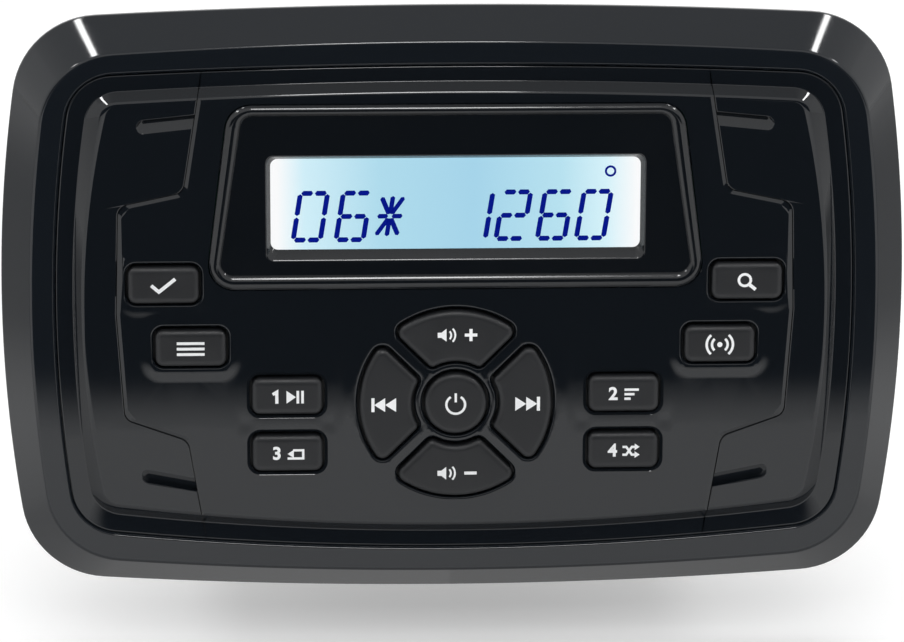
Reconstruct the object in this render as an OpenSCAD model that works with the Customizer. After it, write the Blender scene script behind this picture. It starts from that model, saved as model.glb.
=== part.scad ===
// Flush-mount car stereo: bowed face with a rim, a segment display, thirteen push keys and a rear chassis.
// X runs to the right, Y to the rear and Z up; the dash panel's front surface is the plane Y = 0.

/* [Face] */
// Width of the face at mid height
face_w = 145; // [138:1:160]
// Height of the face at mid width
face_h = 97; // [92:1:108]
// Radius of the bowed top and bottom edges
top_bow_r = 850; // [600:10:1500]
// Radius of the bowed side edges
side_bow_r = 235; // [180:5:400]
// Corner radius of the outer edge
corner_r = 14; // [11:0.5:18]

/* [Rim] */
// Width of the sloping flank, seen from the front
flank_w = 5; // [4:0.1:6]
// Depth of the sloping flank
flank_d = 7.4; // [6.5:0.1:9]
// Straight edge behind the flank
edge_d = 1; // [0.6:0.1:1.6]
// Width of the flat crest
crest_w = 3.5; // [2.8:0.1:4]
// Width of the slope from the crest down to the groove
rim_wall_w = 0.4; // [0.3:0.1:0.8]
// Width of the groove's floor
groove_w = 2.5; // [2:0.1:3]
// How far the groove's floor rises towards the rim
groove_rise = 0.75; // [0.4:0.05:0.8]
// Thickness of the foam gasket
gasket_t = 1.5; // [1:0.1:2.5]
// Width of the foam gasket
gasket_w = 7; // [4:0.5:8]
// Distance between the mounting screws across
mount_w = 103; // [101:0.5:105]
// Distance between the mounting screws up and down
mount_h = 58; // [55:0.5:60]
// Diameter of the mounting screw holes
mount_d = 4.5; // [3.2:0.1:5]

/* [Front panel and trims] */
// How far the face stands in front of the crest
face_rise = 1.2; // [0.8:0.1:1.6]
// Depth of the bevel round the face
bevel_d = 2.15; // [1.6:0.05:2.6]
// Width of the bevel round the face
bevel_w = 1.65; // [1:0.05:2.4]
// Thickness of the flange on the groove's floor
flange_t = 0.9; // [0.6:0.1:1.2]
// Thickness of the front panel
panel_t = 1.8; // [1.5:0.1:2]
// Gap between neighbouring covers
seam_gap = 0.25; // [0.15:0.05:0.4]

/* [Display] */
// Width of the display opening
window_w = 60; // [54:0.5:62]
// Height of the display opening
window_h = 16.4; // [13:0.2:17]
// Height of the display's centre above the face's centre
window_z = 17.3; // [16.8:0.1:17.6]
// Height of the raised ridge round the display
ridge_d = 1; // [0.6:0.1:1.4]
// Thickness of the clear lens
lens_t = 1.05; // [0.8:0.05:1.3]
// Thickness of the display glass
glass_t = 1.8; // [1.4:0.1:2]

/* [Keys] */
// Width of a square key
key_w = 11.2; // [9:0.1:12]
// Height of a square key
key_h = 5.9; // [5:0.1:6.6]
// Corner radius of a square key
key_r = 1.3; // [0.8:0.1:2]
// How far the keys stand out of the face
key_proud = 1.1; // [0.9:0.1:1.6]
// How far a key travels
key_travel = 0.8; // [0.5:0.05:0.8]
// Gap between a key and its opening
key_gap = 0.4; // [0.3:0.05:0.5]
// Outer radius of the round key pad
pad_r = 15.35; // [14:0.05:16]
// Inner radius of the pad's four outer keys
pad_inner_r = 7; // [6.8:0.05:8]
// Half the distance between two outer keys of the pad
pad_half_gap = 1.45; // [1.2:0.05:1.8]
// Height of the pad's centre, from the face's centre
pad_z = -15.05; // [-15.7:0.05:-14.4]
// Radius of the power key
power_r = 5; // [4.4:0.1:5.2]

/* [Rear chassis] */
// Width of the rear housing
housing_w = 88; // [84:0.5:90]
// Height of the rear housing
housing_h = 64; // [62:0.5:66]
// Depth of the rear housing behind the dash panel
housing_d = 46; // [42:0.5:60]
// Wall of the rear housing
housing_wall = 2.2; // [1.8:0.1:2.6]
// Thickness of the rear cover's plate
cover_t = 3; // [2.4:0.1:4]
// Depth of the cooling fins
fin_d = 11; // [6:0.5:16]
// Number of cooling fins
fin_count = 13; // [7:1:15]
// Thickness of a circuit board
board_t = 1.2; // [1:0.1:1.6]

/* [Hidden] */
$fn = 40;
// Overlap that keeps joined solids and cuts clean
eps = 0.05;
// Small clearance between pieces that are pushed together
fit = 0.1;
// Clearance round bosses and screws that pass through another piece
clear = 0.2;
// Reach of a cut beyond the surface it opens
past = 1;
// Segments on an edge, on a corner and on a small corner of an outline
edge_steps = 8;
corner_steps = 7;
small_steps = 4;

// Depths, front to rear
y_rear = -0.3;
y_crest = -(gasket_t + edge_d + flank_d);
y_face = y_crest - face_rise;
y_groove = y_face + bevel_d;
y_land = y_groove + flange_t;
y_panel_back = y_face + panel_t;
lens_recess = 0.3;
y_lens = y_panel_back - lens_recess;
y_lens_back = y_lens + lens_t;
y_glass_back = y_lens_back + glass_t;
y_board = y_glass_back + fit;
y_board_back = y_board + board_t;
y_housing = 0.5;
y_housing_back = y_housing + housing_d - 0.5;
seal_t = 0.8;
y_cover = y_housing_back + seal_t;
y_cover_back = y_cover + cover_t;
y_fins = y_cover_back + fin_d;

// Insets of the rim's and the face's edges from the outer edge
crest_in = flank_w;
crest_end = crest_in + crest_w;
wall_foot = crest_end + rim_wall_w;
bevel_foot = wall_foot + groove_w;
face_in = bevel_foot + bevel_w;

// Corner radii of the nested outlines
crest_r = corner_r - 1.5;
crest_end_r = corner_r - 5.5;
foot_r = corner_r - 6.2;
bevel_foot_r = corner_r - 8.5;
face_r = corner_r - 9.5;

// How far the layout of the face is stretched from its own size, across and up
own_face = [145, 97];
wide = face_w / own_face.x;
tall = face_h / own_face.y;
even = min(wide, tall);
function placed(at) = [at.x * wide, at.y * tall];

// Half sizes of the pocket that holds the key board
seam_wing_x = 53.9 * wide;
seam_mid_x = 43.05 * wide;
pocket_x = seam_wing_x - clear;
pocket_wing_z = 17.4 * tall;
pocket_mid_x = seam_mid_x - 2 * wide;
pocket_z = face_h / 2 - face_in - 1.55;

// Key places: pairs left and right of the centre line
key_upper = placed([46.35, 4.85]);
key_lower = placed([42.15, -5.5]);
key_top_number = placed([26.9, -13.6]);
key_low_number = placed([26.9, -23.05]);
cap_size = placed([key_w, key_h]);
ring_r = pad_r * even;
ring_inner_r = pad_inner_r * even;
ring_half_gap = pad_half_gap * even;
centre_r = power_r * even;
ring_z = pad_z * tall;
key_flange = 0.8;
key_flange_t = 0.8;
key_chamfer = [0.55, 0.45];
pill_r = 1.5;
pad_corner_r = 1.6;
contact_t = 0.05;
y_key = y_face - key_proud;
y_flange = y_panel_back + clear;
y_flange_back = y_flange + key_flange_t;
y_pill = y_board - contact_t - key_travel - eps;

// Display block
glass_size = placed([window_w, window_h]);
glass_z = window_z * tall;
window_r = 1.2;
window_taper = 0.9;
ridge_top = placed([35.9, 33.8]);
ridge_bottom = placed([39.75, 3.8]);
ridge_w = [1.4, 1.7, 2.3];
ridge_r = 4.2;
ridge_chamfer = 0.35;
lens_size = glass_size + [4, 3];
guide_size = glass_size + [-1, 0.8];
frame_size = glass_size + placed([8, 5.6]);
pin_z = glass_z - frame_size.y / 2 - 0.3;
glass_top = glass_z + glass_size.y / 2 + 1.6;
glass_low = pin_z - 0.7;
frame_wall = 1.2;
frame_flange = 1.1;
y_guide_back = y_board + 2.9;
y_frame_back = y_guide_back + 0.8;

// Opening of the bezel round the display's frame and the header
opening_x = frame_size.x / 2 + frame_flange + 0.9;
opening_z = glass_z + frame_size.y / 2 + 1.8;

// Screw places
board_screw_at = [for (side = [-1, 1], at = [[33, -1.8], [17.6, -26.5]]) placed([side * at.x, at.y])];
panel_screw_at = [for (side = [-1, 1], z = [-13.6, 13.8]) placed([side * 47, z])];
mount_at = [for (x = [-1, 1], z = [-1, 1]) placed([x * mount_w / 2, z * mount_h / 2])];
boss_r = 2.2;
pilot_r = 0.85;
boss_in = 2.6;
boss_d = 10;
boss_floor = 1;
main_bite = 2.8;
housing_r = 4;
screw_r = 1.05;
screw_hole_r = 1.3;
screw_head_r = 2;
small_head_r = 1.7;
boss_centre_x = housing_w / 2 - housing_wall - boss_in + 0.6;
boss_centre_z = housing_h / 2 - housing_wall - boss_in + 0.6;
housing_screw_at = [for (x = [-1, 1], z = [-1, 1])
    [x * (opening_x + screw_head_r + clear), z * (boss_centre_z - 3.6)]];
cover_screw_at = [for (x = [-1, 1], z = [-1, 1]) [x * boss_centre_x, z * boss_centre_z]];

// Main board and what stands on it
main_z = -housing_h / 2 + housing_wall + 4;
main_top = main_z + board_t;
main_w = housing_w - 2 * housing_wall - 3;
main_y = [y_housing + 3, y_cover - 1.6];
main_screw_at = [for (x = [-1, 1], y = [main_y[0] + 12, main_y[1] - 14]) [x * (main_w / 2 - 4), y]];
header_w = 26;
chip_size = [23, 4.6, 14];
pad_t = 0.4;
harness_size = [32, 15];
harness_wall = 1.3;
harness_out = 8.5;
harness_back = 5;
antenna_x = housing_w / 2 - 15;
antenna_r = 4.75;
antenna_wall = 1.6;
antenna_d = 13;
line_out_x = [-housing_w / 2 + 7.5, -housing_w / 2 + 17.5];
line_out_r = 4.15;
line_out_hole_r = 1.7;
line_out_base = 5;
harness_x = line_out_x[1] + line_out_r + 2.35 + harness_size.x / 2;
connector_z = main_top + harness_size.y / 2;
fuse_size = [0.1 * main_w, 12, 7];
fuse_at = [0.32 * main_w, main_y[1] - 15.2];
tuner_size = [0.25 * main_w, 10, 9];
tuner_at = [-0.41 * main_w, main_y[0] + 7.5];
module_size = [0.18 * main_w, 12, 0.9];
module_at = [0.19 * main_w, main_y[0] + 7];
capacitor_r = 0.062 * main_w;
capacitor_h = 20;
capacitor_count = 3;
capacitor_at = [-0.1 * main_w, main_y[1] - 16.2];
choke_at = [-0.3 * main_w, main_y[1] - 14];
choke_ring_r = 4.2;
choke_wire_r = 2.5;
leg_count = 11;
leg_pitch = 1.9;
leg_reach = 2.4;

// Outline of the bowed face, inset from the outer edge, with its own corner radius
function face_centre(inset, r) =
    let (a = face_w / 2 - inset, b = face_h / 2 - inset,
         top_r = top_bow_r - inset, side_r = side_bow_r - inset,
         top_c = [0, b - top_r], side_c = [a - side_r, 0],
         span = side_c - top_c, d = norm(span),
         q = (pow(top_r - r, 2) - pow(side_r - r, 2) + d * d) / (2 * d),
         h = sqrt(pow(top_r - r, 2) - q * q),
         along = span / d)
    top_c + q * along + h * [along.y, -along.x];
function face_quarter(inset, r) =
    let (a = face_w / 2 - inset, b = face_h / 2 - inset,
         top_r = top_bow_r - inset, side_r = side_bow_r - inset,
         top_c = [0, b - top_r], side_c = [a - side_r, 0],
         p = face_centre(inset, r),
         side_a = atan2(p.y - side_c.y, p.x - side_c.x),
         top_a = atan2(p.y - top_c.y, p.x - top_c.x))
    concat(
        [for (i = [0:edge_steps - 1]) side_c + turned(side_r, side_a * i / edge_steps)],
        arc_points(p, r, side_a, top_a, corner_steps),
        [for (i = [1:edge_steps - 1]) top_c + turned(top_r, top_a + (90 - top_a) * i / edge_steps)]);
function turned(r, t) = r * [cos(t), sin(t)];
function arc_points(c, r, from, to, steps) =
    [for (i = [0:steps]) c + turned(r, from + (to - from) * i / steps)];
function mirrored(points, sx, sz) = [for (p = points) [sx * p.x, sz * p.y]];
function reversed(points) = [for (i = [len(points) - 1:-1:0]) points[i]];
function without_first(points) = [for (i = [1:len(points) - 1]) points[i]];
function face_outline(inset, r) =
    let (quarter = face_quarter(inset, r),
         left = reversed(mirrored(without_first(quarter), -1, 1)),
         half = concat(quarter, [[0, face_h / 2 - inset]], left))
    concat(half, [[-(face_w / 2 - inset), 0]], reversed(mirrored(without_first(half), 1, -1)));

// Arc of a corner of radius r at p between the points a and b
function corner_arc(a, p, b, r) =
    let (u = (a - p) / norm(a - p), v = (b - p) / norm(b - p), angle = acos(u * v),
         c = p + (u + v) / norm(u + v) * r / sin(angle / 2),
         s = p + u * r / tan(angle / 2) - c, e = p + v * r / tan(angle / 2) - c,
         from = atan2(s.y, s.x), turn = ((atan2(e.y, e.x) - from + 540) % 360) - 180)
    arc_points(c, r, from, from + turn, small_steps);
function rounded(points, r) =
    [for (i = [0:len(points) - 1]) each corner_arc(points[(i + len(points) - 1) % len(points)], points[i],
                                                   points[(i + 1) % len(points)], r)];
function box_points(w, h) = [[w / 2, -h / 2], [w / 2, h / 2], [-w / 2, h / 2], [-w / 2, -h / 2]];
function moved(points, at) = [for (p = points) p + at];

// Outlines of the keys, grown by an offset
function square_key(at, grow = 0) =
    moved(rounded(box_points(cap_size.x + 2 * grow, cap_size.y + 2 * grow), key_r + grow), at);
function round_key(grow = 0) = [for (i = [0:35]) turned(centre_r + grow, 10 * i) + [0, ring_z]];
function pad_key(turn, grow = 0) =
    let (outer = ring_r + grow, inner = ring_inner_r - grow,
         half = ring_half_gap - grow, r = pad_corner_r + grow,
         outer_a = asin((half + r) / (outer - r)), inner_a = asin((half + r) / (inner + r)), t = turn - 45)
    moved(concat(
        arc_points(turned(inner + r, t + inner_a), r, t + 180 + inner_a, t + 270, small_steps),
        arc_points(turned(outer - r, t + outer_a), r, t - 90, t + outer_a, small_steps),
        without_first(arc_points([0, 0], outer, t + outer_a, t + 90 - outer_a, edge_steps)),
        without_first(
            arc_points(turned(outer - r, t + 90 - outer_a), r, t + 90 - outer_a, t + 180, small_steps)),
        arc_points(turned(inner + r, t + 90 - inner_a), r, t + 180, t + 270 - inner_a, small_steps),
        [for (i = [1:edge_steps - 1])
            turned(inner, t + 90 - inner_a + (2 * inner_a - 90) * i / edge_steps)]),
        [0, ring_z]);
function mirror_at(at, side) = [side * at.x, at.y];
square_key_places = [for (at = [key_upper, key_lower, key_top_number, key_low_number], side = [-1, 1])
    mirror_at(at, side)];
function key_outlines(grow) = concat(
    [for (at = square_key_places) square_key(at, grow)],
    [for (turn = [0, 90, 180, 270]) pad_key(turn, grow)],
    [round_key(grow)]);
pill_at = concat(square_key_places, [[0, ring_z]],
    [for (turn = [0, 90, 180, 270]) turned((ring_r + ring_inner_r) / 2, turn) + [0, ring_z]]);

// Seam between the centre panel and the trim on one side, from the top to the bottom
seam_far = face_h;
seam_top = 19.7 * tall;
seam_low = -21.1 * tall;
seam_lean = 0.16;
seam_r = 2;
function seam_line(side, gap) = moved(mirrored([
    [seam_mid_x - seam_lean * (seam_far - seam_top), seam_far], [seam_mid_x, seam_top],
    [seam_wing_x - 0.5, seam_top - 2.2], [seam_wing_x, 0], [seam_wing_x - 1.1, seam_low + 3.6],
    [seam_mid_x - 0.3, seam_low], [seam_mid_x - 0.3 - seam_lean * (seam_far + seam_low), -seam_far]],
    side, 1), [-side * gap, 0]);
function seam_round(side, gap) =
    let (line = seam_line(side, gap))
    concat([line[0]],
           [for (i = [1:len(line) - 2]) each corner_arc(line[i - 1], line[i], line[i + 1], seam_r)],
           [line[len(line) - 1]]);

// Trapezoid of the display's ridge, drawn in by three widths: side, top and bottom
function ridge_outline(side, top, bottom, grow = 0) = rounded([
    [ridge_bottom.x - side + grow, ridge_bottom.y + bottom - grow],
    [ridge_top.x - side + grow, ridge_top.y - top + grow],
    [-ridge_top.x + side - grow, ridge_top.y - top + grow],
    [-ridge_bottom.x + side - grow, ridge_bottom.y + bottom - grow]], ridge_r - side);
function window_outline(grow) =
    moved(rounded(box_points(glass_size.x + 2 * grow, glass_size.y + 2 * grow), window_r), [0, glass_z]);

// Flat outline in X and Z, from one depth to another
module slab(from, to) {
    translate([0, to, 0]) rotate([90, 0, 0]) linear_extrude(to - from) children();
}
// Straight round rod along Y
module rod(at, r, from, to) {
    translate([at.x, to, at.y]) rotate([90, 0, 0]) cylinder(h = to - from, r = r);
}
// Box between two corners
module block(low, high) {
    translate(low) cube(high - low);
}
// Solid through outlines at rising depths
module loft(outlines, depths) {
    n = len(outlines[0]);
    m = len(outlines);
    points = [for (k = [0:m - 1], p = outlines[k]) [p.x, depths[k], p.y]];
    sides = [for (k = [0:m - 2], j = [0:n - 1])
        let (a = k * n + j, b = k * n + (j + 1) % n)
        each [[a, b, a + n], [b, b + n, a + n]]];
    front = [for (j = [n - 1:-1:0]) j];
    back = [for (j = [0:n - 1]) (m - 1) * n + j];
    polyhedron(points, concat(sides, [front], [back]));
}
// Closed ring whose section runs through the given insets, corner radii and depths
module ring_loft(section) {
    m = len(section);
    outlines = [for (s = section) face_outline(s[0], s[1])];
    n = len(outlines[0]);
    points = [for (k = [0:m - 1], p = outlines[k]) [p.x, section[k][2], p.y]];
    faces = [for (k = [0:m - 1], j = [0:n - 1])
        let (a = k * n + j, b = k * n + (j + 1) % n, up = (k + 1) % m * n, c = up + j, d = up + (j + 1) % n)
        each [[a, b, c], [b, d, c]]];
    polyhedron(points, faces);
}
// Pocket for the key board, grown by an offset
module pocket_shape(grow) {
    square([2 * (pocket_mid_x + grow), 2 * (pocket_z + grow)], center = true);
    square([2 * (pocket_x + grow), 2 * (pocket_wing_z + grow)], center = true);
}
// Rounded rectangle centred on a point
module round_box(w, h, r, at = [0, 0]) {
    polygon(moved(rounded(box_points(w, h), r), at));
}
// Pan-head screw along Y with its head at the front or at the rear
module screw(at, seat, length, shank_r, head_r, head_t, forward) {
    rod(at, head_r, forward > 0 ? seat - head_t : seat, forward > 0 ? seat : seat + head_t);
    rod(at, shank_r, forward > 0 ? seat - eps : seat - length, forward > 0 ? seat + length : seat + eps);
}
// Whole raised face with its bevel and its flange, which is the groove's floor
module island() {
    flange = face_outline(wall_foot + seam_gap, foot_r - seam_gap);
    loft([face_outline(face_in, face_r), face_outline(bevel_foot, bevel_foot_r), flange, flange],
         [y_face, y_groove, y_groove - groove_rise, y_land]);
}

rim_lap = 1;
y_lap = y_land + 0.6;
gasket_in = 1;
counterbore_d = 0.9;
counterbore_r = 2.1;
module bezel_frame() {
    color([0.05, 0.05, 0.055]) difference() {
        union() {
            ring_loft([
                [crest_in, crest_r, y_crest], [0, corner_r, y_crest + flank_d], [0, corner_r, -gasket_t],
                [wall_foot + rim_lap, foot_r - rim_lap, -gasket_t],
                [wall_foot + rim_lap, foot_r - rim_lap, y_lap], [wall_foot, foot_r, y_lap],
                [wall_foot, foot_r, y_groove], [crest_end, crest_end_r, y_crest]]);
            slab(y_land, y_rear) polygon(face_outline(gasket_in + gasket_w + clear, crest_end_r));
        }
        slab(y_land - eps, y_board_back) pocket_shape(0);
        slab(y_board_back - eps, y_rear + eps) square([2 * opening_x, 2 * opening_z], center = true);
        for (at = mount_at) rod(at, mount_d / 2, y_land - past, y_rear + past);
        for (at = housing_screw_at) rod(at, screw_hole_r, y_board_back - past, y_rear + past);
        for (at = panel_screw_at) {
            rod(at, pilot_r + clear, y_board_back - past, y_rear + past);
            rod(at, counterbore_r, y_rear - counterbore_d, y_rear + past);
        }
    }
}

module panel_gasket() {
    color([0.12, 0.12, 0.13]) slab(-gasket_t, 0) difference() {
        polygon(face_outline(gasket_in, corner_r - gasket_in / 2));
        polygon(face_outline(gasket_in + gasket_w, crest_end_r));
    }
}

// Raised lip round a key's opening
lip_w = 0.55;
lip_d = 0.35;
module key_lips() {
    slab(y_face - lip_d, y_face + eps) difference() {
        for (outline = key_outlines(key_gap + lip_w)) polygon(outline);
        for (outline = key_outlines(key_gap)) polygon(outline);
    }
}

panel_rib = 1;
pilot_more = 0.6;
module front_panel() {
    color([0.06, 0.06, 0.065]) difference() {
        union() {
            difference() {
                intersection() {
                    island();
                    slab(y_face - past, y_land + past)
                        polygon(concat(seam_round(-1, seam_gap / 2),
                                       reversed(seam_round(1, seam_gap / 2))));
                }
                slab(y_panel_back, y_land + past) {
                    square([2 * (pocket_mid_x - panel_rib), 2 * (pocket_z - fit)], center = true);
                    square([2 * face_w, 2 * (pocket_wing_z - 2 * panel_rib)], center = true);
                }
            }
            key_lips();
            for (at = board_screw_at) rod(at, boss_r, y_panel_back - eps, y_board);
            for (at = panel_screw_at) rod(at, boss_r, y_panel_back - eps, y_board_back);
        }
        for (outline = key_outlines(key_gap)) slab(y_face - 2 * past, y_panel_back + eps) polygon(outline);
        slab(y_face - 2 * past, y_panel_back + eps) polygon(ridge_outline(0, 0, 0, fit));
        for (at = board_screw_at) rod(at, pilot_r, y_panel_back - pilot_more, y_board + past);
        for (at = panel_screw_at) rod(at, pilot_r, y_panel_back - pilot_more, y_board_back + past);
    }
}

module display_bezel() {
    color([0.04, 0.04, 0.045]) difference() {
        union() {
            slab(y_face, y_panel_back) polygon(ridge_outline(0, 0, 0));
            difference() {
                loft([ridge_outline(ridge_chamfer, ridge_chamfer, ridge_chamfer), ridge_outline(0, 0, 0),
                      ridge_outline(0, 0, 0)], [y_face - ridge_d, y_face - 0.4 * ridge_d, y_face + eps]);
                slab(y_face - 2 * past, y_face + past)
                    polygon(ridge_outline(ridge_w[0], ridge_w[1], ridge_w[2]));
            }
        }
        loft([window_outline(eps), window_outline(0), window_outline(-window_taper)],
             [y_face - fit, y_face, y_panel_back + eps]);
        slab(y_lens, y_panel_back + eps) square_at(lens_size.x + 2 * fit, lens_size.y + 2 * fit, glass_z);
    }
}
module square_at(w, h, z) {
    translate([0, z]) square([w, h], center = true);
}

module left_trim() {
    color([0.06, 0.06, 0.065]) trim_cover(-1);
}
module right_trim() {
    color([0.06, 0.06, 0.065]) trim_cover(1);
}
// Snap-on cover over the mounting screws of one side, with pry slots beside the seam
trim_skin = 1.5;
mount_head = 2.6;
pry_size = [11.5, 2.8, 1.3];
pry_at = [for (z = [-28.3, 30.5]) placed([44.45, z])];
pry_d = 0.7;
module trim_cover(side) {
    difference() {
        intersection() {
            island();
            slab(y_face - past, y_land + past) polygon(concat(
                seam_round(side, -seam_gap / 2), [[side * face_w, -seam_far], [side * face_w, seam_far]]));
        }
        for (z = [-1, 1]) {
            rod(placed([side * mount_w / 2, z * mount_h / 2]), mount_d / 2 + mount_head,
                y_face + trim_skin, y_land + past);
        }
        for (at = pry_at) slab(y_face - past, y_face + pry_d)
            round_box(pry_size[0], pry_size[1], pry_size[2], [side * at.x, at.y]);
    }
}

module display_lens() {
    color([0.75, 0.85, 0.9, 0.5]) slab(y_lens, y_lens_back) square_at(lens_size.x, lens_size.y, glass_z);
}

module lcd_glass() {
    color([0.7, 0.87, 0.94]) slab(y_lens_back, y_glass_back)
        square_at(lens_size.x, glass_top - glass_low, (glass_top + glass_low) / 2);
}

pin_pitch = 2.5;
pin_count = 21;
module lcd_pins() {
    color("silver") for (i = [0:pin_count - 1])
        translate([(i - (pin_count - 1) / 2) * pin_pitch, 0, pin_z])
            block([-0.25, y_glass_back, -0.2], [0.25, y_board_back + 0.7, 0.2]);
}

module lcd_frame() {
    color("white") difference() {
        union() {
            slab(y_glass_back, y_frame_back) square_at(frame_size.x, frame_size.y, glass_z);
            slab(y_board_back, y_board_back + 0.9)
                square_at(frame_size.x + 2 * frame_flange, frame_size.y, glass_z);
        }
        slab(y_glass_back - past, y_guide_back)
            square_at(frame_size.x - 2 * frame_wall, frame_size.y - 2 * frame_wall, glass_z);
    }
}

module light_guide() {
    color([0.9, 0.95, 1]) slab(y_glass_back, y_guide_back) square_at(guide_size.x, guide_size.y, glass_z);
}

led_count = 3;
led_pitch = 5.4;
led_h = 3;
strip_t = 0.8;
module backlight_leds() {
    strip_x = frame_size.x / 2 - frame_wall;
    color([0.95, 0.95, 0.7]) for (side = [-1, 1]) scale([side, 1, 1]) translate([0, 0, glass_z]) {
        block([strip_x - strip_t, y_glass_back + clear, -guide_size.y / 2],
              [strip_x, y_guide_back, guide_size.y / 2]);
        for (i = [0:led_count - 1]) translate([0, 0, (i - (led_count - 1) / 2) * led_pitch])
            block([guide_size.x / 2 + fit, y_glass_back + 2 * clear, -led_h / 2],
                  [strip_x - strip_t + eps, y_guide_back - clear, led_h / 2]);
    }
}

sheet_t = 0.8;
sheet_in = 0.5;
sheet_mid = 3.2 * tall;
sheet_wing_x = 38.6 * wide;
sheet_wing_z = -6 * tall;
module keypad_sheet() {
    color([0.2, 0.2, 0.21]) slab(y_board - sheet_t, y_board) difference() {
        translate([0, (sheet_mid - pocket_z + sheet_in) / 2])
            square([2 * (pocket_mid_x - 2 * sheet_in), sheet_mid + pocket_z - sheet_in], center = true);
        for (side = [-1, 1]) translate([side * (pocket_x - sheet_in + sheet_wing_x) / 2, sheet_wing_z / 2])
            square([pocket_x - sheet_in - sheet_wing_x, 2 * (pocket_wing_z - sheet_in) + sheet_wing_z],
                   center = true);
        for (at = pill_at) translate(at) circle(pill_r + 2 * clear);
        for (at = concat(board_screw_at, panel_screw_at)) translate(at) circle(boss_r + clear);
    }
}

// Key cap with its flange behind the panel and its contact pill
module key_body(outline_at, at) {
    loft([outline_at[0], outline_at[1], outline_at[1], outline_at[2], outline_at[2]],
         [y_key, y_key + key_chamfer[1], y_flange, y_flange, y_flange_back]);
    rod(at, pill_r, y_flange_back - eps, y_pill);
}
key_colour = [0.22, 0.22, 0.24];
module square_key_at(at) {
    color(key_colour) key_body([for (grow = [-key_chamfer[0], 0, key_flange]) square_key(at, grow)], at);
}
module pad_key_at(turn) {
    color(key_colour) key_body([for (grow = [-key_chamfer[0], 0, key_flange]) pad_key(turn, grow)],
                               turned((ring_r + ring_inner_r) / 2, turn) + [0, ring_z]);
}
module key_power() {
    color(key_colour)
        key_body([for (grow = [-key_chamfer[0], 0, key_flange]) round_key(grow)], [0, ring_z]);
}
module key_next() pad_key_at(0);
module key_volume_up() pad_key_at(90);
module key_previous() pad_key_at(180);
module key_volume_down() pad_key_at(270);
module key_upper_left() square_key_at(mirror_at(key_upper, -1));
module key_upper_right() square_key_at(mirror_at(key_upper, 1));
module key_lower_left() square_key_at(mirror_at(key_lower, -1));
module key_lower_right() square_key_at(mirror_at(key_lower, 1));
module key_1() square_key_at(mirror_at(key_top_number, -1));
module key_2() square_key_at(mirror_at(key_top_number, 1));
module key_3() square_key_at(mirror_at(key_low_number, -1));
module key_4() square_key_at(mirror_at(key_low_number, 1));

module key_board() {
    color([0.05, 0.3, 0.15]) difference() {
        slab(y_board, y_board_back) pocket_shape(-clear);
        slab(y_board - past, y_board_back + past) {
            square_at(frame_size.x + 2 * fit, frame_size.y + 2 * fit, glass_z);
            square_at(pin_pitch * pin_count, 0.8, pin_z);
        }
        for (at = board_screw_at) rod(at, pilot_r + clear, y_board - past, y_board_back + past);
        for (at = panel_screw_at) rod(at, boss_r + clear, y_board - past, y_board_back + past);
        for (at = housing_screw_at) rod(at, screw_head_r + clear, y_board - past, y_board_back + past);
    }
}

module key_contacts() {
    color("gold") for (at = pill_at) rod(at, pill_r + clear, y_board - contact_t, y_board);
}

module key_board_screws() {
    color("silver") for (at = board_screw_at)
        screw(at, y_board_back, board_t + y_board - y_panel_back, pilot_r - eps, small_head_r, 1, -1);
}

module panel_screws() {
    color("silver") for (at = panel_screw_at)
        screw(at, y_rear - counterbore_d, y_rear - counterbore_d - y_panel_back, pilot_r - eps,
              counterbore_r - clear, counterbore_d - fit, -1);
}

// Plug on the key board's rear and its socket on the main board's front edge
header_z = main_top + 3.2;
header_h = 5.6;
header_wall = 0.8;
header_lap = 4.5;
module header_plug() {
    inside = [header_w / 2 - header_wall, header_h / 2 - header_wall];
    color([0.85, 0.85, 0.8]) difference() {
        block([-header_w / 2, y_board_back, header_z - header_h / 2],
              [header_w / 2, main_y[0] + header_wall, header_z + header_h / 2]);
        block([-inside.x, y_board_back + header_wall, header_z - inside.y],
              [inside.x, main_y[0] + header_lap, header_z + inside.y]);
    }
}
module header_socket() {
    inside = [header_w / 2 - header_wall - fit, header_h / 2 - header_wall - fit];
    color([0.12, 0.12, 0.12]) {
        block([-inside.x, y_board_back + 2 * header_wall, header_z - inside.y],
              [inside.x, main_y[0] + header_lap, header_z + inside.y]);
        block([-header_w / 2 - header_wall, main_y[0] + header_wall + fit, main_top],
              [header_w / 2 + header_wall, main_y[0] + header_lap + 1.5, header_z + header_h / 2]);
    }
}

// Inside outline of the rear housing
module housing_inside() {
    round_box(housing_w - 2 * housing_wall, housing_h - 2 * housing_wall, housing_r / 2);
}

module rear_housing() {
    color([0.1, 0.1, 0.11]) difference() {
        union() {
            difference() {
                slab(y_housing, y_housing_back) round_box(housing_w, housing_h, housing_r);
                slab(y_housing - past, y_housing_back + past) housing_inside();
            }
            intersection() {
                slab(y_housing, y_housing_back)
                    round_box(housing_w - 2 * clear, housing_h - 2 * clear, housing_r);
                union() {
                    for (at = housing_screw_at) housing_boss(at, y_housing, y_housing + boss_d);
                    for (at = cover_screw_at) housing_boss(at, y_housing_back - boss_d, y_housing_back);
                    for (at = main_screw_at) translate([at.x, at.y, -housing_h / 2])
                        cylinder(h = main_z + housing_h / 2, r = boss_in);
                }
            }
        }
        for (at = housing_screw_at)
            rod(at, screw_r + eps, y_housing - past, y_housing + boss_d - boss_floor);
        for (at = cover_screw_at)
            rod(at, screw_r + eps, y_housing_back - boss_d + boss_floor, y_housing_back + past);
        for (at = main_screw_at) translate([at.x, at.y, main_z - main_bite - clear])
            cylinder(h = main_bite + 1, r = screw_r + eps);
    }
}
// Screw boss that grows out of the housing's side wall
module housing_boss(at, from, to) {
    rod(at, boss_in, from, to);
    side = sign(at.x);
    block([min(at.x, side * housing_w / 2), from, at.y - boss_in],
          [max(at.x, side * housing_w / 2), to, at.y + boss_in]);
}

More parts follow.
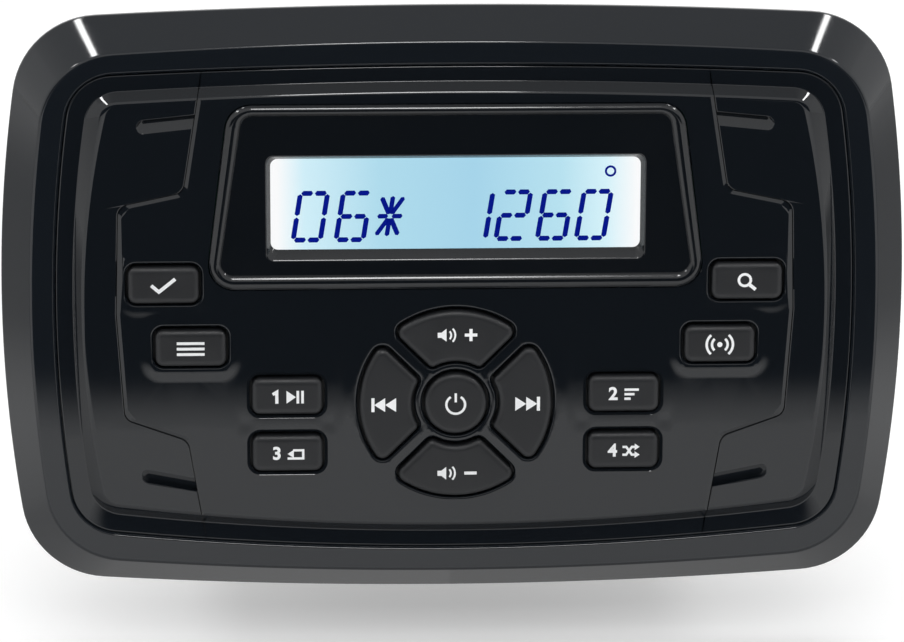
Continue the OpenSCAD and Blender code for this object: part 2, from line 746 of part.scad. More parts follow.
module housing_seal() {
    color([0.15, 0.15, 0.16]) housing_ring_seal(housing_screw_at, y_rear, y_housing);
}
module cover_seal() {
    color([0.15, 0.15, 0.16]) housing_ring_seal(cover_screw_at, y_housing_back, y_cover);
}
// Flat seal over the housing's wall and its screw bosses
module housing_ring_seal(screws, from, to) {
    difference() {
        intersection() {
            slab(from, to) round_box(housing_w, housing_h, housing_r);
            union() {
                difference() {
                    slab(from, to) square([2 * housing_w, 2 * housing_h], center = true);
                    slab(from - past, to + past) housing_inside();
                }
                for (at = screws) housing_boss(at, from, to);
            }
        }
        for (at = screws) rod(at, screw_hole_r, from - past, to + past);
    }
}

module housing_screws() {
    color("silver") for (at = housing_screw_at)
        screw(at, y_board_back, y_housing - y_board_back + boss_d - 2 * boss_floor, screw_r,
              screw_head_r, 1, 1);
}
module cover_screws() {
    color("silver") for (at = cover_screw_at)
        screw(at, y_cover_back, cover_t + seal_t + boss_d - 2 * boss_floor, screw_r, screw_head_r, 1.4, -1);
}

// Cast rear cover with cooling fins above the connectors
fin_low = connector_z + harness_size.y / 2 + 4;
module rear_cover() {
    fin_t = 1.6;
    fin_span = 2 * (boss_centre_x - screw_head_r - fin_t);
    color([0.16, 0.16, 0.17]) difference() {
        union() {
            slab(y_cover, y_cover_back) round_box(housing_w, housing_h, housing_r);
            for (i = [0:fin_count - 1])
                translate([(i / (fin_count - 1) - 0.5) * fin_span, 0, 0])
                    block([-fin_t / 2, y_cover_back - eps, fin_low],
                          [fin_t / 2, y_fins, housing_h / 2 - fin_t]);
        }
        for (at = cover_screw_at) rod(at, screw_hole_r, y_cover - past, y_cover_back + past);
        slab(y_cover - past, y_cover_back + past) translate([harness_x, connector_z])
            square([harness_size.x + 2 * fit, harness_size.y + 2 * fit], center = true);
        rod([antenna_x, connector_z], antenna_r + antenna_wall + fit, y_cover - past, y_cover_back + past);
        for (x = line_out_x) rod([x, connector_z], line_out_r + fit, y_cover - past, y_cover_back + past);
    }
}

module main_board() {
    color([0.05, 0.3, 0.15]) difference() {
        block([-main_w / 2, main_y[0], main_z], [main_w / 2, main_y[1], main_top]);
        for (at = main_screw_at) translate([at.x, at.y, main_z - past])
            cylinder(h = board_t + 2 * past, r = screw_hole_r);
        for (at = housing_screw_at) board_notch(at, y_housing, y_housing + boss_d + fit);
        for (at = cover_screw_at) board_notch(at, y_housing_back - boss_d - fit, y_housing_back);
    }
}
// Notch in the main board's edge round a boss of the housing
module board_notch(at, from, to) {
    inner = abs(at.x) - boss_in - clear;
    scale([sign(at.x), 1, 1]) block([inner, from, main_z - past], [housing_w, to, main_top + past]);
}
module main_board_screws() {
    color("silver") for (at = main_screw_at) translate([at.x, at.y, main_top]) {
        cylinder(h = 1.3, r = screw_head_r);
        translate([0, 0, -board_t - main_bite]) cylinder(h = board_t + main_bite + eps, r = screw_r);
    }
}

chip_low = fin_low;
y_leg = y_cover - pad_t - chip_size[1] - leg_reach;
module amplifier_chip() {
    color([0.08, 0.08, 0.08]) {
        block([-chip_size[0] / 2, y_cover - pad_t - chip_size[1], chip_low],
              [chip_size[0] / 2, y_cover - pad_t, chip_low + chip_size[2]]);
        for (i = [0:leg_count - 1]) translate([(i - (leg_count - 1) / 2) * leg_pitch, y_leg, 0]) {
            block([-0.35, -0.3, main_top], [0.35, 0.3, chip_low + 3.6]);
            block([-0.35, 0, chip_low + 3], [0.35, leg_reach + 0.3, chip_low + 3.6]);
        }
    }
}
module thermal_pad() {
    color([0.6, 0.65, 0.75]) block([-chip_size[0] / 2, y_cover - pad_t, chip_low],
                                   [chip_size[0] / 2, y_cover, chip_low + chip_size[2]]);
}

module tuner_can() {
    color("silver") translate([tuner_at.x, tuner_at.y, main_top]) difference() {
        cube(tuner_size);
        for (i = [1:3]) translate([i * tuner_size[0] / 4, tuner_size[1] / 2, tuner_size[2] - 1])
            cylinder(h = 1 + past, r = 1.6);
    }
}
module wireless_module() {
    color([0.1, 0.25, 0.4]) translate([module_at.x, module_at.y, main_top]) {
        cube(module_size);
        translate([1, 4, module_size[2] - eps]) cube([module_size[0] - 2, module_size[1] - 5, 1.7]);
    }
}
module capacitors() {
    color([0.15, 0.15, 0.2]) for (i = [0:capacitor_count - 1])
        translate([capacitor_at.x + i * 2.2 * capacitor_r, capacitor_at.y, main_top]) {
            cylinder(h = capacitor_h - 1, r = capacitor_r);
            cylinder(h = capacitor_h, r = capacitor_r - 0.8);
        }
}
module choke() {
    color([0.65, 0.35, 0.15]) translate([choke_at.x, choke_at.y, main_top + choke_wire_r])
        rotate_extrude() translate([choke_ring_r, 0]) circle(choke_wire_r);
}

connector_front = y_cover_back + harness_out;
y_harness = y_cover - harness_back;
pin_half = 0.45;
harness_at = [for (i = [0:7], k = [0, 1]) [harness_x + (i - 3.5) * 3.3, connector_z + (k - 0.5) * 5.2]];
module harness_socket() {
    inside = [harness_size.x / 2 - harness_wall, harness_size.y / 2 - harness_wall];
    color([0.1, 0.1, 0.1]) difference() {
        translate([harness_x, 0, connector_z]) difference() {
            block([-harness_size.x / 2, y_harness, -harness_size.y / 2],
                  [harness_size.x / 2, connector_front, harness_size.y / 2]);
            block([-inside.x, y_cover - past, -inside.y], [inside.x, connector_front + past, inside.y]);
        }
        for (at = harness_at) translate([at.x, 0, at.y])
            block([-pin_half - eps, y_harness - past, -pin_half - eps],
                  [pin_half + eps, y_cover, pin_half + eps]);
    }
}
module harness_pins() {
    color("gold") for (at = harness_at) {
        block([at.x - pin_half, y_harness - 3 * pin_half, at.y - pin_half],
              [at.x + pin_half, y_cover + cover_t, at.y + pin_half]);
        block([at.x - pin_half, y_harness - 3 * pin_half, main_top],
              [at.x + pin_half, y_harness - pin_half, at.y]);
    }
}
y_antenna = connector_front - antenna_d;
antenna_base = 7;
antenna_pin_d = 3;
module antenna_socket() {
    at = [antenna_x, connector_z];
    outer_r = antenna_r + antenna_wall;
    y_back = y_antenna - antenna_wall;
    color([0.75, 0.75, 0.72]) difference() {
        union() {
            rod(at, outer_r, y_back, connector_front);
            block([at.x - outer_r, y_antenna - antenna_base, main_top],
                  [at.x + outer_r, y_back + eps, at.y + antenna_r]);
        }
        rod(at, antenna_r, y_antenna, connector_front + past);
        rod(at, antenna_wall, y_antenna - antenna_pin_d, connector_front);
    }
}
y_line_out = y_cover - 3;
module line_out_sockets() {
    color([0.8, 0.8, 0.78]) {
        for (x = line_out_x) difference() {
            union() {
                rod([x, connector_z], line_out_r - clear, y_line_out, connector_front);
                rod([x, connector_z], line_out_r, y_cover_back + clear, connector_front);
            }
            rod([x, connector_z], line_out_hole_r, y_cover, connector_front + past);
        }
        block([line_out_x[0] - line_out_r, y_line_out - line_out_base, main_top],
              [line_out_x[1] + line_out_r, y_line_out + eps, connector_z + line_out_r + 1]);
    }
}
fuse_slot = [2.4, fuse_size[1] - 2];
fuse_cap = [3.8, fuse_size[1] - 1.2, 6];
module fuse_holder() {
    color([0.1, 0.1, 0.1]) translate([fuse_at.x, fuse_at.y, main_top]) difference() {
        translate([0, 0, fuse_size[2] / 2]) cube(fuse_size, center = true);
        translate([0, 0, fuse_size[2] / 2 + 1])
            cube([fuse_slot.x, fuse_slot.y, fuse_size[2]], center = true);
    }
}
module blade_fuse() {
    blade = fuse_slot / 2 - [fit, fit];
    color([0.9, 0.75, 0.1]) translate([fuse_at.x, fuse_at.y, main_top]) {
        block([-blade.x, -blade.y, 1], [blade.x, blade.y, fuse_size[2] + eps]);
        block([-fuse_cap.x / 2, -fuse_cap.y / 2, fuse_size[2]],
              [fuse_cap.x / 2, fuse_cap.y / 2, fuse_size[2] + fuse_cap.z]);
    }
}

bezel_frame();
panel_gasket();
front_panel();
display_bezel();
left_trim();
right_trim();
display_lens();
lcd_glass();
lcd_pins();
lcd_frame();
light_guide();
backlight_leds();
keypad_sheet();
key_power();
key_volume_up();
key_previous();
key_volume_down();
key_next();
key_upper_left();
key_upper_right();
key_lower_left();
key_lower_right();
key_1();
key_2();
key_3();
key_4();
key_board();
key_contacts();
key_board_screws();
panel_screws();
header_plug();
header_socket();
rear_housing();
housing_seal();
housing_screws();
cover_seal();
rear_cover();
cover_screws();
main_board();
main_board_screws();
amplifier_chip();
thermal_pad();
tuner_can();
wireless_module();
capacitors();
choke();
harness_socket();
harness_pins();
antenna_socket();
line_out_sockets();
fuse_holder();
blade_fuse();
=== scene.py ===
import math

import bmesh
import bpy
import numpy as np
from mathutils import Matrix, Vector
from mathutils.geometry import delaunay_2d_cdt, tessellate_polygon


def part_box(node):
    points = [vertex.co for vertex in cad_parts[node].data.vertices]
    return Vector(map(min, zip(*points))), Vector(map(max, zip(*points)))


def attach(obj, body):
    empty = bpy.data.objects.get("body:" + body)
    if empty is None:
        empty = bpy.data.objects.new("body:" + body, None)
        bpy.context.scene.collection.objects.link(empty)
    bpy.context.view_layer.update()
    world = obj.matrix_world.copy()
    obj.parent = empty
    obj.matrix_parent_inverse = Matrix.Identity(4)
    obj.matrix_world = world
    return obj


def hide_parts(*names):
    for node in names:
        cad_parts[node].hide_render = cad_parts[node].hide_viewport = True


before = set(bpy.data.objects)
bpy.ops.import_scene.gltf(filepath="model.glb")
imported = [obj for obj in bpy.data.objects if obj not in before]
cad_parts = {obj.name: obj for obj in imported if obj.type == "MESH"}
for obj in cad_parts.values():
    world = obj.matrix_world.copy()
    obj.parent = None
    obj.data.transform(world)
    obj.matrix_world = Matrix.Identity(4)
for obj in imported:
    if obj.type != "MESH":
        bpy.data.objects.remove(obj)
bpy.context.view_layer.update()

# Sizes are in millimetres: X to the right, Y to the rear, Z up, with the dash panel at Y 0
MM = 0.001
BODY = "receiver"


def corners(node):
    """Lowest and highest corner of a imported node."""
    low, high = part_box(node)
    return Vector(low) / MM, Vector(high) / MM


def middle(node):
    """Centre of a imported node, seen from the front."""
    low, high = corners(node)
    return Vector(((low.x + high.x) / 2, (low.z + high.z) / 2))


# Depths, taken from the frame or counted from its front
RIM_LOW, RIM_HIGH = corners("bezel_frame")
Y_CREST = RIM_LOW.y
Y_FACE = Y_CREST - 1.2
Y_FLANGE_EDGE = Y_CREST + 0.15
Y_GROOVE = Y_CREST + 0.45
Y_LAND = Y_FACE + 3.05
Y_PANEL_BACK = Y_FACE + 1.8
Y_EDGE = Y_CREST + 7.4
Y_RING_BACK = corners("panel_gasket")[0].y
Y_RIM_BACK = RIM_HIGH.y
Y_LENS = corners("display_lens")[0].y
Y_GLASS = corners("lcd_glass")[0].y
Y_BOARD_BACK = corners("key_board")[1].y
Y_KEY = corners("key_power")[0].y + 0.06
Y_FLANGE = Y_PANEL_BACK + 0.2
Y_FLANGE_BACK = Y_FLANGE + 0.8
Y_PILL = corners("key_power")[1].y

# Insets of the rim's and the face's edges from the outer edge, seen at the top
CREST_IN = 5.0
CREST_END = 8.5
WALL_FOOT = 8.9
FLANGE_IN = 9.02
BEVEL_FOOT = 11.31
FACE_IN = 13.2

# Nested outlines: top inset, half width, top and bottom height, side, top, bottom and corner radius
OUTLINES = (
    (0, 72.5, 47.95, 48.5, 235, 1150, 850, 14),
    (CREST_IN, 67.5, 43.5, 43.5, 230, 850, 680, 12.5),
    (CREST_END, 64, 40.1, 40, 226, 1150, 520, 8.5),
    (WALL_FOOT, 63.6, 39.7, 39.6, 226, 1150, 520, 7.8),
    (FLANGE_IN, 63.48, 39.58, 39.48, 226, 1150, 520, 7.5),
    (BEVEL_FOOT, 60.8, 37.2, 36.9, 200, 1000, 450, 5.5),
    (FACE_IN, 58.9, 35.35, 35.1, 138, 950, 410, 2),
)

# Seam between the panel and a trim: the right one, from the top to the bottom
SEAM_GAP = 0.12
SEAM_LEAN = 0.16
SEAM_R = 2
SEAM = [Vector(p) for p in ((43.05, 19.7), (53.4, 17.5), (53.9, 0), (52.8, -17.5), (42.75, -21.1))]

# Pry pockets of the trims, open at the seam
PRY = Vector((11.5, 2.2))
PRY_X = 44.45
PRY_PLACES = ((31.2, 0.1), (-28.4, 0.2))
PRY_ROUND = 0.98
PRY_SLOPE = math.tan(math.radians(28))

# Display: ridge, window and glass
RIDGE_TOP = Vector((35.9, 33.8))
RIDGE_BOTTOM = Vector((39.75, 3.8))
RIDGE_W = (2.2, 1.8, 2.4)
RIDGE_R = 4.2
RIDGE_H = 0.7
WINDOW = Vector((60, 16.4))
WINDOW_R = 1.2
WINDOW_TAPER = 0.9
WINDOW_SILL = (0.6, -0.3)
WINDOW_Z = middle("display_lens").y
FIT = 0.1

# Keys
KEY_GAP = 0.4
KEY_FLANGE = 0.8
KEY_SIZE = Vector((11.2, 5.9))
KEY_R = 1.3
KEY_LEAST_R = 0.35
KEY_EDGE = Vector((1.0, 0.75))
PAD_R = 15.35
PAD_INNER_R = 7.0
PAD_HALF_GAP = 1.45
PAD_CORNERS = (1.35, 0.9)
PAD_LEAST_R = 0.3
POWER_R = 5.0
PILL_R = 1.5
SQUARE_KEYS = ("key_upper_left", "key_upper_right", "key_lower_left", "key_lower_right",
               "key_1", "key_2", "key_3", "key_4")
PAD_KEYS = {"key_next": 0, "key_volume_up": 90, "key_previous": 180, "key_volume_down": 270}
PAD_AT = middle("key_power")


# Points along the arcs of the front's outlines
BOW_STEPS = 16
CORNER_STEPS = 14
FLANK_STEPS = 24
PANEL_STEPS = 30
TRIM_STEPS = 8
BEND_STEPS = 5
PRY_STEPS = 6

# Points round a turned piece, a hole and a thin rod
ROUND_STEPS = 48
HOLE_STEPS = 40
ROD_STEPS = 24


# Outline tools: an outline is a list of (x, z) points

def turned(r, angle):
    return Vector((r * math.cos(angle), r * math.sin(angle)))


def arc(centre, r, start, end, steps):
    return [centre + turned(r, start + (end - start) * i / steps) for i in range(steps + 1)]


def circle(centre, r, steps=HOLE_STEPS):
    return arc(centre, r, 0, 2 * math.pi, steps)[:-1]


def corner_arc(before, here, after, r, steps):
    """Arc that rounds the corner at one point of a line."""
    u = (before - here).normalized()
    v = (after - here).normalized()
    half = u.angle(v) / 2
    centre = here + (u + v).normalized() * r / math.sin(half)
    reach = r / math.tan(half)
    start = math.atan2(*reversed(here + u * reach - centre))
    end = math.atan2(*reversed(here + v * reach - centre))
    turn = (end - start + math.pi) % (2 * math.pi) - math.pi
    return arc(centre, r, start, start + turn, steps)


def rounded(points, r, steps=6):
    """Closed outline with every corner rounded."""
    after = points[1:] + points[:1]
    return [q for i, p in enumerate(points) for q in corner_arc(points[i - 1], p, after[i], r, steps)]


def soft(section, steps=5):
    """Open section line through (across, depth, corner radius) with its corners rounded."""
    line = [Vector(p[:2]) for p in section]
    points = [line[0]]
    for i in range(1, len(line) - 1):
        r = section[i][2]
        points += corner_arc(line[i - 1], line[i], line[i + 1], r, steps) if r else [line[i]]
    return points + [line[-1]]


def box_outline(w, h, r, at=Vector((0, 0)), steps=6):
    half = Vector((w, h)) / 2
    points = [Vector((x * half.x, z * half.y)) + at for x, z in ((1, -1), (1, 1), (-1, 1), (-1, -1))]
    return rounded(points, r, steps)


def beside(points, shift):
    """Line at one distance to the left of a line of points, without its end points."""
    ways = [(b - a).normalized() for a, b in zip(points, points[1:])]
    left = [Vector((-way.y, way.x)) for way in ways]
    return [p + (a + b) / (1 + a.dot(b)) * shift for p, a, b in zip(points[1:], left, left[1:])]


def mirrored(points, x=1, z=1):
    return [Vector((x * p.x, z * p.y)) for p in points]


def four_places(x, z):
    """Mirror places left and right, below and above the middle."""
    return [Vector((a * x, b * z)) for a in (-1, 1) for b in (-1, 1)]


class Arch:
    """Upper half of a bowed outline: right side, corner and top."""

    def __init__(self, half_w, height, side_r, top_r, r):
        self.r = r
        self.top_r = top_r
        self.side_r = side_r
        self.top_c = Vector((0, height - top_r))
        self.side_c = Vector((half_w - side_r, 0))
        span = self.side_c - self.top_c
        along = span.normalized()
        inner_top = top_r - r
        inner_side = side_r - r
        q = (inner_top**2 - inner_side**2 + span.length_squared) / (2 * span.length)
        h = math.sqrt(inner_top**2 - q * q)
        self.corner_c = self.top_c + q * along + h * Vector((along.y, -along.x))
        self.side_a = math.atan2(*reversed(self.corner_c - self.side_c))
        self.top_a = math.atan2(*reversed(self.corner_c - self.top_c))

    def top_from(self, x):
        """Angle on the top arc at one x."""
        return math.acos(x / self.top_r)

    def top(self, start, end, steps):
        """Top arc between two angles, without its ends."""
        return arc(self.top_c, self.top_r, start, end, steps)[1:-1]

    def corner(self):
        """From the right side to the top."""
        return arc(self.corner_c, self.r, self.side_a, self.top_a, CORNER_STEPS)

    def half(self):
        """From the right end over the top to the left end."""
        side = arc(self.side_c, self.side_r, 0, self.side_a, BOW_STEPS)[:-1]
        crown = self.top_c + Vector((0, self.top_r))
        quarter = [*side, *self.corner(), *self.top(self.top_a, math.pi / 2, BOW_STEPS), crown]
        return quarter + mirrored(reversed(quarter[:-1]), x=-1)

    def hit(self, start, way):
        """Where a line from a point inside meets the top arc."""
        to = start - self.top_c
        b = to.dot(way)
        return start + way * (math.sqrt(b * b - to.length_squared + self.top_r**2) - b)


class Bow:
    """One of the nested bowed outlines of the front, drawn in from the outer edge."""

    def __init__(self, inset):
        insets, *columns = zip(*OUTLINES)
        values = (float(np.interp(inset, insets, column)) for column in columns)
        half_w, top, low, side_r, top_r, low_r, r = values
        more = max(inset - FACE_IN, 0)
        self.up = Arch(half_w - more, top - more, side_r, top_r, r)
        self.low = Arch(half_w - more, low - more, side_r, low_r, r)

    def outline(self):
        return self.up.half() + mirrored(reversed(self.low.half()[1:-1]), z=-1)

    def seam(self, shift):
        """Ends and bends of the right seam within this outline, moved sideways, from the top."""
        way = Vector((-SEAM_LEAN, 1)).normalized()
        line = beside([SEAM[0] + way, *SEAM, SEAM[-1] + Vector((way.x, -way.y))], shift)
        first = self.up.hit(line[0], way)
        last = mirrored([self.low.hit(Vector((line[-1].x, -line[-1].y)), way)], z=-1)[0]
        path = [first] + line + [last]
        bends = [q for i in range(1, len(path) - 1)
                 for q in corner_arc(path[i - 1], path[i], path[i + 1], SEAM_R, BEND_STEPS)]
        return [first], bends, [last]

    def panel(self, gap):
        """Centre panel between the two seams."""
        right = sum(self.seam(-gap), [])
        left = mirrored(reversed(right), x=-1)
        across = self.up.top_from(right[0].x)
        under = self.low.top_from(right[-1].x)
        top = self.up.top(math.pi - across, across, PANEL_STEPS)
        bottom = mirrored(self.low.top(under, math.pi - under, PANEL_STEPS), z=-1)
        return top + right + bottom + left

    def trim(self, side, gap, grow, closed):
        """Trim outside one seam, with its pry pockets open or closed."""
        first, bends, last = self.seam(gap)
        upper, lower = (pry_detour(gap, z, lean, grow, closed) for z, lean in PRY_PLACES)
        seam = first + upper + bends + lower + last
        top = self.up.top(self.up.top_from(seam[0].x), self.up.top_a, TRIM_STEPS)
        flank = arc(self.up.side_c, self.up.side_r, self.up.side_a, -self.low.side_a, FLANK_STEPS)[1:-1]
        low = self.low.top(self.low.top_a, self.low.top_from(seam[-1].x), TRIM_STEPS)
        points = (seam[::-1] + top + self.up.corner()[::-1] + flank
                  + mirrored(self.low.corner(), z=-1) + mirrored(low, z=-1))
        return mirrored(points, x=side)


def pry_detour(shift, z, lean, grow, closed):
    """Way from the seam round a pry pocket and back; a closed one stays on the seam."""
    half = PRY / 2 + Vector((grow, grow))
    r = PRY_ROUND * half.y
    end = PRY_X + half.x - r
    out = 1 if z > 0 else -1
    centre = z - out * min(grow, 0)
    bend = SEAM[0] if z > 0 else SEAM[-1]
    mouth = [Vector((bend.x + shift - SEAM_LEAN * (abs(h) - abs(bend.y)), h))
             for h in (centre + half.y, centre - half.y)]
    way = (arc(Vector((end, mouth[0].y - r)), r, math.pi / 2, 0, PRY_STEPS)
           + arc(Vector((end, mouth[1].y + r)), r, 0, -math.pi / 2, PRY_STEPS))
    if closed:
        way = [mouth[0].lerp(mouth[1], (i + 1) / (len(way) + 1)) for i in range(len(way))]
    return [mouth[0], *(p - Vector((0, out * lean * (p.x - mouth[0].x))) for p in way), mouth[1]]


def square_key(at, grow):
    return box_outline(KEY_SIZE.x + 2 * grow, KEY_SIZE.y + 2 * grow, max(KEY_R + grow, KEY_LEAST_R), at)


def pad_key(turn, grow):
    """Quarter of the ring round the power key."""
    outer = PAD_R + grow
    inner = PAD_INNER_R - grow
    half = PAD_HALF_GAP - grow
    out_r, in_r = (max(r + grow, PAD_LEAST_R) for r in PAD_CORNERS)
    t = math.radians(turn - 45)
    quarter = math.pi / 2
    out_a = math.asin((half + out_r) / (outer - out_r))
    in_a = math.asin((half + in_r) / (inner + in_r))
    first_in = turned(inner + in_r, t + in_a)
    first_out = turned(outer - out_r, t + out_a)
    last_out = turned(outer - out_r, t + quarter - out_a)
    last_in = turned(inner + in_r, t + quarter - in_a)
    points = (arc(first_in, in_r, t + math.pi + in_a, t + 3 * quarter, 6)
              + arc(first_out, out_r, t - quarter, t + out_a, 6)
              + arc(Vector((0, 0)), outer, t + out_a, t + quarter - out_a, 20)[1:]
              + arc(last_out, out_r, t + quarter - out_a, t + math.pi, 6)[1:]
              + arc(last_in, in_r, t + math.pi, t + 3 * quarter - in_a, 6)
              + arc(Vector((0, 0)), inner, t + quarter - in_a, t + in_a, 14)[1:-1])
    return [p + PAD_AT for p in points]


def key_outline(name, grow):
    if name == "key_power":
        return circle(PAD_AT, POWER_R + grow, ROUND_STEPS)
    if name in PAD_KEYS:
        return pad_key(PAD_KEYS[name], grow)
    return square_key(middle(name), grow)


def key_centre(name, out=0.0):
    """Middle of a key, moved outward on the pad keys."""
    if name in PAD_KEYS:
        return PAD_AT + turned((PAD_R + PAD_INNER_R) / 2 + out, math.radians(PAD_KEYS[name]))
    return middle(name)


KEYS = (*SQUARE_KEYS, *PAD_KEYS, "key_power")


def ridge_outline(side, top, bottom, grow=0.0):
    points = [Vector((RIDGE_BOTTOM.x - side + grow, RIDGE_BOTTOM.y + bottom - grow)),
              Vector((RIDGE_TOP.x - side + grow, RIDGE_TOP.y - top + grow))]
    return rounded(points + mirrored(reversed(points), x=-1), RIDGE_R - side, 10)


def window_outline(grow, depth):
    """Window at one depth, with a bottom edge that slopes up to the lens."""
    sill = float(np.interp(depth, (Y_FACE, Y_LENS), WINDOW_SILL))
    at = Vector((0, WINDOW_Z - sill / 2))
    return box_outline(WINDOW.x + 2 * grow, WINDOW.y + 2 * grow + sill, WINDOW_R, at, 8)


def linked(name, data):
    """New object in the scene."""
    thing = bpy.data.objects.new(name, data)
    bpy.context.collection.objects.link(thing)
    return thing


class Shape:
    """Mesh under construction."""

    def __init__(self):
        self.points = []
        self.faces = []

    def ring(self, outline, depth):
        first = len(self.points)
        self.points += [Vector((p.x, depth, p.y)) for p in outline]
        return list(range(first, len(self.points)))

    def loft(self, outlines):
        """Walls through (outline, depth) pairs; the first and the last ring are returned."""
        rings = [self.ring(*pair) for pair in outlines]
        for a, b in zip(rings, rings[1:]):
            self.faces += [(a[i - 1], a[i], b[i], b[i - 1]) for i in range(len(a))]
        return rings[0], rings[-1]

    def wall(self, outline, front, back):
        """Straight wall on one outline; both its rings are returned."""
        return self.loft([(outline, front), (outline, back)])

    def cap(self, ring, holes=()):
        """Flat face inside a ring, round some holes."""
        loops = [ring, *holes]
        flat = [[Vector((self.points[i].x, self.points[i].z, 0)) for i in loop] for loop in loops]
        index = [i for loop in loops for i in loop]
        self.faces += [tuple(index[k] for k in face) for face in tessellate_polygon(flat)]

    def solid(self, outlines):
        """Walls through (outline, depth) pairs, closed at both ends."""
        for ring in self.loft(outlines):
            self.cap(ring)

    def build(self, name, material, body=BODY, stands_for=(), crease=40):
        mesh = bpy.data.meshes.new(name)
        mesh.from_pydata([p * MM for p in self.points], [], self.faces)
        bm = bmesh.new()
        bm.from_mesh(mesh)
        bmesh.ops.remove_doubles(bm, verts=bm.verts, dist=1e-3 * MM)
        bmesh.ops.recalc_face_normals(bm, faces=bm.faces)
        for face in bm.faces:
            face.smooth = True
        bm.to_mesh(mesh)
        bm.free()
        mesh.set_sharp_from_angle(angle=math.radians(crease))
        piece = linked(name, mesh)
        mesh.materials.append(material)
        weighted = piece.modifiers.new("flat_faces", "WEIGHTED_NORMAL")
        weighted.keep_sharp = True
        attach(piece, body)
        if stands_for:
            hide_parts(*stands_for)


# Materials

def ranged(tree, source, start, end, low=0.0, high=1.0):
    """Node that runs from low to high while its source runs from start to end."""
    node = tree.nodes.new("ShaderNodeMapRange")
    values = (start, end, low, high)
    for socket, value in zip(("From Min", "From Max", "To Min", "To Max"), values):
        node.inputs[socket].default_value = value
    tree.links.new(source, node.inputs["Value"])
    return node


def colour_ramp(tree, source, stops):
    """Node that runs through (place, colour) stops."""
    node = tree.nodes.new("ShaderNodeValToRGB")
    elements = node.color_ramp.elements
    while len(elements) < len(stops):
        elements.new(0.5)
    for element, (at, colour) in zip(elements, stops):
        element.position = at
        element.color = (*colour, 1)
    tree.links.new(source, node.inputs["Fac"])
    return node


class Finish:
    """Procedural material: a principled shader with grain in its colour, gloss and surface."""

    def __init__(self, name, colour, rough, metal=0.0, **sockets):
        self.material = bpy.data.materials.new(name)
        self.material.use_nodes = True
        self.tree = self.material.node_tree
        self.nodes = self.tree.nodes
        self.links = self.tree.links
        self.shader = self.nodes["Principled BSDF"]
        self.set("Base Color", (*colour, 1))
        self.set("Roughness", rough)
        self.set("Metallic", metal)
        for socket, value in sockets.items():
            self.set(socket.replace("_", " "), value)
        self.place = self.nodes.new("ShaderNodeTexCoord").outputs["Object"]

    def set(self, socket, value):
        self.shader.inputs[socket].default_value = value

    def noise(self, scale, detail=3.0, stretch=None):
        """Noise over the object, with a scale in cells per metre."""
        node = self.nodes.new("ShaderNodeTexNoise")
        node.inputs["Scale"].default_value = scale
        node.inputs["Detail"].default_value = detail
        place = self.place
        if stretch:
            mapping = self.nodes.new("ShaderNodeMapping")
            mapping.inputs["Scale"].default_value = stretch
            self.links.new(place, mapping.inputs["Vector"])
            place = mapping.outputs["Vector"]
        self.links.new(place, node.inputs["Vector"])
        return node.outputs["Fac"]

    def ramp(self, source, low, high, start=0.3, end=0.7):
        return ranged(self.tree, source, start, end, low, high).outputs["Result"]

    def gloss(self, source, low, high):
        """Roughness that wanders between two values."""
        self.links.new(self.ramp(source, low, high), self.shader.inputs["Roughness"])
        return self

    def tint(self, source, first, second, start=0.3, end=0.7):
        """Colour that wanders between two values."""
        node = self.nodes.new("ShaderNodeMix")
        node.data_type = "RGBA"
        node.inputs["A"].default_value = (*first, 1)
        node.inputs["B"].default_value = (*second, 1)
        self.links.new(self.ramp(source, 0, 1, start, end), node.inputs["Factor"])
        self.links.new(node.outputs["Result"], self.shader.inputs["Base Color"])
        return self

    def bump(self, source, height, strength=1.0):
        """Relief with a height in millimetres."""
        node = self.nodes.new("ShaderNodeBump")
        node.inputs["Strength"].default_value = strength
        node.inputs["Distance"].default_value = height * MM
        self.links.new(source, node.inputs["Height"])
        if self.shader.inputs["Normal"].is_linked:
            self.links.new(self.shader.inputs["Normal"].links[0].from_socket, node.inputs["Normal"])
        self.links.new(node.outputs["Normal"], self.shader.inputs["Normal"])
        return self


def gloss_black(name, rough, level):
    """Polished black moulding with faint flow marks."""
    finish = Finish(name, (0.75 * level, level, 1.35 * level), rough, IOR=1.5)
    finish.gloss(finish.noise(60), rough * 0.7, rough * 1.5)
    finish.bump(finish.noise(900, 1), 0.0004, 0.5)
    return finish.material


def moulded(name, colour, rough, grain, height, **sockets):
    """Plastic or rubber with a fine moulded grain."""
    finish = Finish(name, colour, rough, **sockets)
    finish.gloss(finish.noise(150), rough - 0.06, rough + 0.08)
    finish.tint(finish.noise(35), [0.92 * c for c in colour], [1.08 * c for c in colour])
    finish.bump(finish.noise(grain), height)
    return finish.material


def metal(name, colour, rough, brushed=None):
    """Plated or turned metal with uneven gloss."""
    finish = Finish(name, colour, rough, metal=1.0)
    finish.gloss(finish.noise(500, stretch=brushed), rough * 0.7, rough * 1.4)
    finish.bump(finish.noise(2500, stretch=brushed), 0.004, 0.5)
    return finish.material


# Light of the display from its left end to its right end
LCD_STOPS = ((0.0, (1, 1, 1)), (0.03, (1, 1, 1)), (0.1, (0.66, 0.89, 0.97)), (0.3, (0.45, 0.74, 0.87)),
             (0.55, (0.4, 0.69, 0.85)), (0.78, (0.5, 0.79, 0.9)), (0.9, (0.7, 0.92, 0.98)), (0.98, (1, 1, 1)))


def lit_glass():
    """Blue-lit glass of the display, paler where the lamps stand at both ends."""
    finish = Finish("lcd_light", (0.02, 0.03, 0.04), 0.3)
    split = finish.nodes.new("ShaderNodeSeparateXYZ")
    finish.links.new(finish.place, split.inputs["Vector"])
    half = WINDOW.x / 2 * MM
    light = colour_ramp(finish.tree, finish.ramp(split.outputs["X"], 0, 1, -half, half), LCD_STOPS)
    finish.links.new(light.outputs["Color"], finish.shader.inputs["Emission Color"])
    finish.set("Emission Strength", 0.93)
    return finish.material


